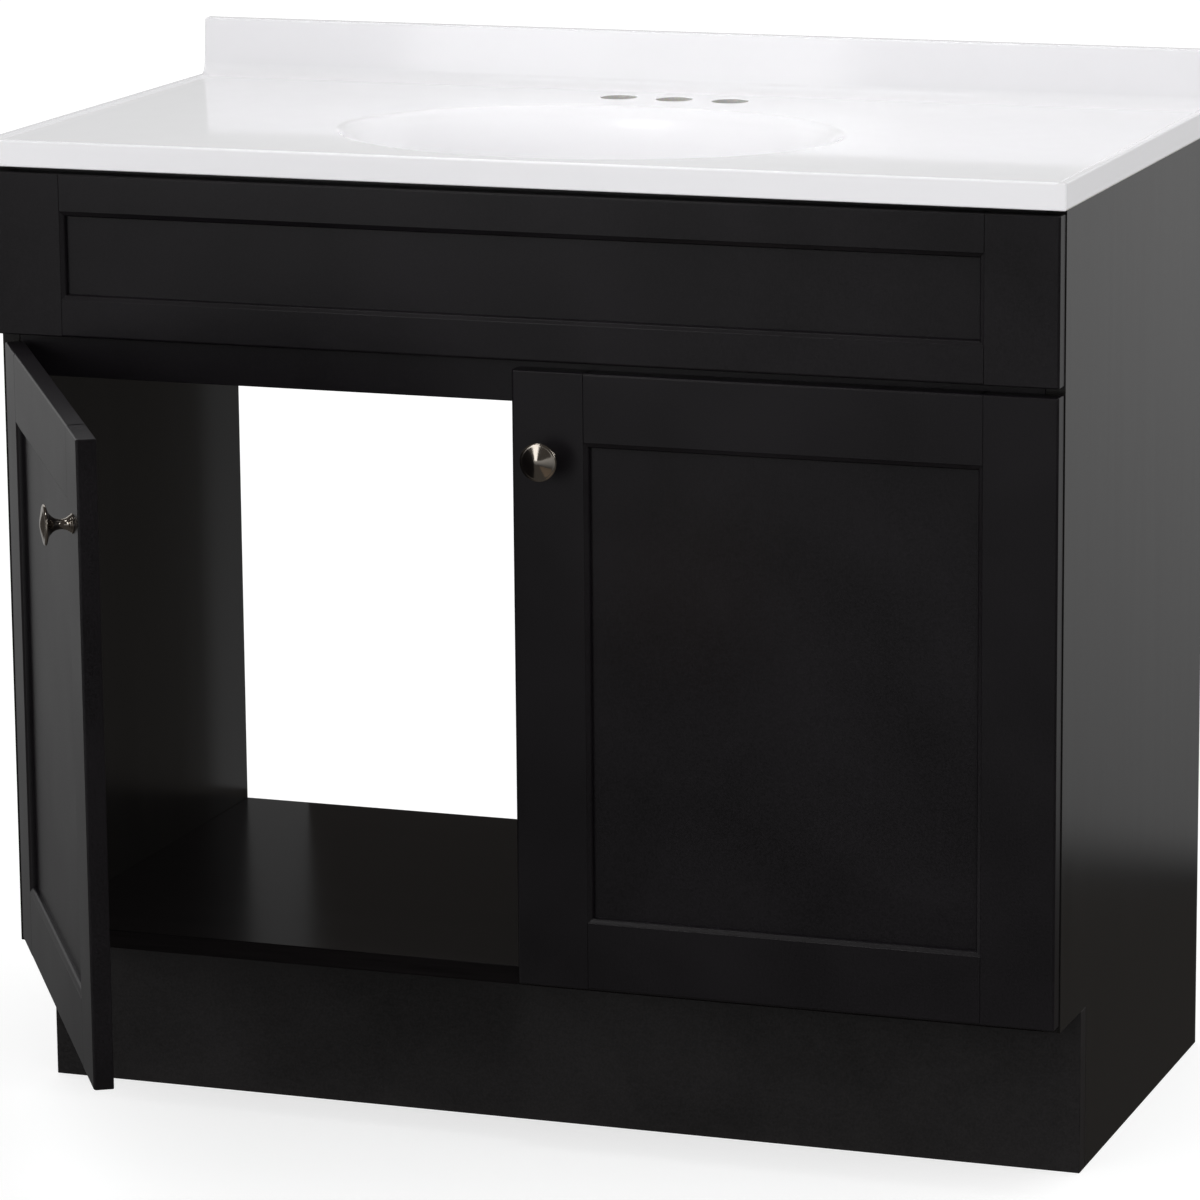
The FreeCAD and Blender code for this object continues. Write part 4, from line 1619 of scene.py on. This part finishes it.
    def _wing_outline(self, low: Vector, high: Vector) -> list[Point]:
        """A cup's wings in plan on the door's back: a long plate with round ends."""
        radius = self.wing_width / 2
        middle = low.x + MM + radius
        outline = arc((middle, low.z + radius), radius, 180, 360, 12)
        return outline + arc((middle, high.z - radius), radius, 0, 180, 12)

    def _screws(self) -> None:
        """The heads of the knob screw and of the screws through the cups' wings."""
        frame = self.bench.frame
        for node, height in (
            ("door_knob_screw", self.knob_screw_head),
            ("hinge_cup_screws", self.cup_screw_head),
        ):
            heads = Shape()
            for low, high in self.bench.islands(f"right_{node}", frame):
                centre = (low + high) / 2
                seat = Vector((centre.x, high.y - height, centre.z))
                deep = min(0.8 * height, self.screw_cross_depth)
                head = CrossHead((high.x - low.x) / 2, height, deep, self.screw_cross_width)
                heads.with_copies([head.shape().moved(self._outward(seat))])
            name = f"{self.hand}_{node.replace('screw', 'screw_head')}"
            self._fit(heads, name, Dress.ZINC, Slot.ZINC, f"{self.hand}_{node}")

    def _bumpers(self) -> None:
        """The two soft dots inside the door's free corners."""
        dots = Shape()
        for low, high in self.bench.islands("right_door_bumpers", self.bench.frame):
            radius, height = (high.x - low.x) / 2, high.y - low.y
            section = [(0.0, 0.0), (radius, 0.0), (radius * 0.97, height * 0.4)]
            section += [(radius * 0.8, height * 0.85), (radius * 0.4, height), (0.0, height)]
            spot = Vector(((low.x + high.x) / 2, low.y, (low.z + high.z) / 2))
            dots.with_copies([Shape.lathe(section, 32).moved(self._outward(spot))])
        name = f"{self.hand}_door_soft_dots"
        self._fit(dots, name, Dress.POLYMER, Slot.BUMPER, f"{self.hand}_door_bumpers")


@dataclass
class HingeMounts:
    """The parts of the hinges that stay on the cabinet, and the links."""

    bench: Bench
    hand: str
    ease: float = 0.3 * MM
    head_height: float = 2.0 * MM
    cross_depth: float = 1.2 * MM
    cross_width: float = 0.8 * MM

    def build(self) -> None:
        """Dresses the plates, arms, pins and links, and makes the plate screws' heads."""
        for part in ("plates", "arms", "links"):
            self.bench.dress(f"{self.hand}_hinge_{part}", Dress.ZINC, self.ease)
        self.bench.dress(f"{self.hand}_hinge_arm_pins", Dress.ZINC)
        heads = Shape()
        for low, high in self.bench.islands("right_hinge_plate_screws", self.bench.frame):
            centre = (low + high) / 2
            cross = (self.cross_depth, self.cross_width)
            head = CrossHead((high.z - low.z) / 2, self.head_height, *cross).shape()
            seat = Matrix.Translation((low.x + self.head_height, centre.y, centre.z))
            heads.with_copies([head.moved(seat @ Matrix.Rotation(-math.pi / 2, 4, "Y"))])
        matrix = Matrix.Identity(4) if self.hand == "right" else MIRROR
        name = f"{self.hand}_hinge_plate_screw_heads"
        node = f"{self.hand}_hinge_plate_screws"
        self.bench.fit(heads.moved(matrix), name, [Dress.ZINC], "cabinet", Slot.ZINC, [node])


# ---------------------------------------------------------------- the studio
@dataclass(frozen=True)
class Softbox:
    """A soft area light that reflections don't show.

    Args:
        label: its name.
        spot: where it hangs.
        aim: the point it faces.
        size: its width and height.
        power: its power in watts.
        spread: the angle of its beam in degrees.
    """

    label: str
    spot: Place
    aim: Place
    size: Point
    power: float
    spread: float

    def hang(self) -> None:
        """Adds the light to the scene."""
        light = bpy.data.lights.new(self.label, "AREA")
        light.shape = "RECTANGLE"
        light.size, light.size_y = self.size
        light.energy = self.power
        light.spread = math.radians(self.spread)
        holder = bpy.data.objects.new(self.label, light)
        holder.location = self.spot
        toward = Vector(self.aim) - Vector(self.spot)
        holder.rotation_mode = "QUATERNION"
        holder.rotation_quaternion = toward.to_track_quat("-Z", "Y")
        holder.visible_camera = False
        holder.visible_glossy = False
        bpy.context.scene.collection.objects.link(holder)


@dataclass(frozen=True)
class Card:
    """A glowing card that only reflections see.

    Args:
        label: its name.
        low: its lower left corner.
        high: its upper right corner; a card stands upright or lies level.
        glow: its brightness at the foot and at the top.
        fade: the share of its height over which its foot fades in.
        tint: its colour.
    """

    label: str
    low: Place
    high: Place
    glow: Point
    fade: float = 0.0
    tint: Colour = (1.0, 1.0, 1.0)

    def stand(self) -> None:
        """Adds the card to the scene."""
        low, high = Vector(self.low), Vector(self.high)
        middle, half = (low + high) / 2, (high - low) / 2
        bm = bmesh.new()
        level = abs(half.z) < MICRON
        rise = Vector((0.0, half.y, 0.0)) if level else Vector((0.0, 0.0, half.z))
        run = half - rise
        for corner in (-run - rise, run - rise, run + rise, rise - run):
            bm.verts.new(corner)
        bm.faces.new(bm.verts)
        mesh = bpy.data.meshes.new(self.label)
        bm.to_mesh(mesh)
        bm.free()
        card = bpy.data.objects.new(self.label, mesh)
        card.location = middle
        mesh.materials.append(self._material(rise.length, "Y" if level else "Z"))
        bpy.context.scene.collection.objects.link(card)
        for unseen in ("camera", "diffuse", "shadow", "transmission"):
            setattr(card, f"visible_{unseen}", False)

    def _material(self, half: float, axis: str) -> bpy.types.Material:
        """The card's glow, from its foot to its top."""
        material = bpy.data.materials.new(self.label)
        material.use_nodes = True
        graph = Graph(material.node_tree)
        place = graph.coordinates((0.5 / half,) * 3)
        height = graph.add("ShaderNodeSeparateXYZ", None, {0: place}, axis) + 0.5
        foot, top = self.glow
        brightest = max(self.glow)
        stops = [(0.0, 0.0 if self.fade else foot / brightest)]
        stops += [(max(self.fade, 0.001), foot / brightest), (1.0, top / brightest)]
        level = graph.ramp(height, stops)
        colour = graph.add(
            "ShaderNodeMix",
            {"data_type": "RGBA", "blend_type": "MULTIPLY"},
            {0: 1.0, 6: level, 7: (*self.tint, 1.0)},
            2,
        )
        glow = graph.add("ShaderNodeEmission", None, {"Color": colour, "Strength": brightest})
        graph.add("ShaderNodeOutputMaterial", None, {"Surface": glow})
        return material


@dataclass
class Studio:
    """The floor, the light and the camera."""

    floor_size: float = 80.0
    sky: float = 0.945
    from_below: float = 0.72
    surround: float = 0.05
    camera_spot: Place = (1.6178, -4.7842, 1.465)
    yaw: float = 19.69
    pitch: float = -12.25
    roll: float = -0.51
    lens: float = 174.1
    lights: tuple[Softbox, ...] = (
        Softbox("key", (-1.3, -3.3, 1.35), (0.34, -0.45, 0.88), (2.6, 0.6), 2.9, 50.0),
        Softbox("right fill", (3.2, -0.6, 1.8), (0.4, -0.25, 0.8), (1.6, 1.6), 1.2, 100.0),
        Softbox("top light", (0.9, -0.4, 3.2), (0.42, -0.25, 0.8), (1.2, 1.2), 1.5, 60.0),
        Softbox("bowl light", (0.05, -0.7, 3.2), (0.0, -0.27, 0.8), (0.35, 0.35), 0.11, 18.0),
    )
    cards: tuple[Card, ...] = (
        Card("back card", (-2.6, 0.6, 0.86), (1.3, 0.6, 2.6), (0.58, 0.58)),
        Card("side card", (0.5, 0.62, -0.03), (1.5, 0.62, 0.84), (0.25, 0.5), 0.06),
        Card("left card", (-2.2, 0.6, -0.8), (-0.95, 0.6, 1.2), (0.02, 0.6)),
        Card("deck card", (-0.5, 0.03, 0.153), (-0.393, 0.03, 0.6), (0.2, 0.12)),
        Card("overhead", (-1.15, -2.05, 2.7), (-0.45, -1.5, 2.7), (2.6, 2.6)),
        Card("tall strip", (-1.6, -3.4, 0.62), (-0.9, -3.4, 2.2), (1.55, 1.55)),
        Card("right strip", (1.5, -2.2, 1.1), (2.1, -2.2, 2.6), (2.5, 2.5)),
        Card("front glow", (-2.4, -3.6, -0.6), (0.8, -3.6, 0.6), (0.02, 0.32)),
        Card("far left card", (-4.0, -4.6, -1.9), (-4.0, -2.4, 0.4), (0.35, 0.6), 0.3),
        Card(
            "warm card",
            (0.0, -0.74, 0.37),
            (0.12, -0.74, 0.49),
            (0.14, 0.1),
            tint=(1.0, 0.8, 0.62),
        ),
    )

    def build(self) -> None:
        """Sets up the floor, light and camera."""
        self._floor()
        self._surround()
        self._sky()
        for light in self.lights:
            light.hang()
        for card in self.cards:
            card.stand()
        bpy.context.scene.view_settings.view_transform = "Standard"
        self._camera()

    def _sky(self) -> None:
        """White light from all round above the floor and little from below it."""
        world = bpy.data.worlds.new("studio")
        world.use_nodes = True
        graph = Graph(world.node_tree)
        around = graph.add("ShaderNodeTexCoord", output="Generated")
        height = graph.add("ShaderNodeSeparateXYZ", None, {0: around}, "Z") * 0.5 + 0.5
        level = graph.ramp(height, [(0.47, self.from_below), (0.49, 1.0)])
        values = {"Color": level, "Strength": self.sky}
        glow = graph.add("ShaderNodeBackground", None, values)
        graph.add("ShaderNodeOutputWorld", None, {"Surface": glow})
        world.cycles_visibility.glossy = False
        bpy.context.scene.world = world

    def _floor(self) -> None:
        """A plain pale floor."""
        half = self.floor_size / 2
        shape = Shape()
        corners = [(-half, -half, 0), (half, -half, 0), (half, half, 0), (-half, half, 0)]
        shape.bm.faces.new(shape.ring(corners))
        mesh = bpy.data.meshes.new("floor")
        shape.bm.to_mesh(mesh)
        floor = bpy.data.objects.new("floor", mesh)
        mesh.materials.append(StudioFloor("studio_floor", (0.45, 0.45, 0.45)).material())
        bpy.context.scene.collection.objects.link(floor)
        floor.visible_glossy = False
        floor.visible_diffuse = False

    def _surround(self) -> None:
        """A dim room round the scene, which only reflections see."""
        bm = bmesh.new()
        bmesh.ops.create_icosphere(bm, subdivisions=4, radius=self.floor_size * 0.45)
        mesh = bpy.data.meshes.new("surround")
        bm.to_mesh(mesh)
        bm.free()
        room = bpy.data.objects.new("surround", mesh)
        material = bpy.data.materials.new("surround")
        material.use_nodes = True
        graph = Graph(material.node_tree)
        values = {"Color": (1.0, 0.93, 0.86, 1.0), "Strength": self.surround}
        glow = graph.add("ShaderNodeEmission", None, values)
        graph.add("ShaderNodeOutputMaterial", None, {"Surface": glow})
        mesh.materials.append(material)
        bpy.context.scene.collection.objects.link(room)
        for unseen in ("camera", "diffuse", "shadow", "transmission"):
            setattr(room, f"visible_{unseen}", False)

    def _camera(self) -> None:
        """The camera, in front of the cabinet to the right and above it."""
        yaw, pitch, roll = (math.radians(a) for a in (self.yaw, self.pitch, self.roll))
        ahead = Vector(
            (-math.sin(yaw) * math.cos(pitch), math.cos(yaw) * math.cos(pitch), math.sin(pitch))
        )
        level = Vector((math.cos(yaw), math.sin(yaw), 0.0))
        upright = level.cross(ahead)
        right = level * math.cos(roll) + upright * math.sin(roll)
        up = upright * math.cos(roll) - level * math.sin(roll)
        turn = Matrix((right, up, -ahead)).transposed().to_4x4()
        data = bpy.data.cameras.new("camera")
        data.lens = self.lens
        data.sensor_width = 36.0
        data.clip_end = 200.0
        camera = bpy.data.objects.new("camera", data)
        camera.matrix_world = Matrix.Translation(self.camera_spot) @ turn
        bpy.context.scene.collection.objects.link(camera)
        bpy.context.scene.camera = camera


def main() -> None:
    """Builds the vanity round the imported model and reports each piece."""
    logging.basicConfig(level=logging.INFO, format="%(name)s: %(message)s")
    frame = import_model()
    bench = Bench(frame)
    swing = Swing(frame)
    CastTop(bench).build()
    Carcass(bench).build()
    FramedFront(bench).build_false_front()
    for hand, turn in (("left", swing.door), ("right", Matrix.Identity(4))):
        Door(bench, hand, turn).build()
        HingeMounts(bench, hand).build()
    Studio().build()


if __name__ == "__main__":
    main()
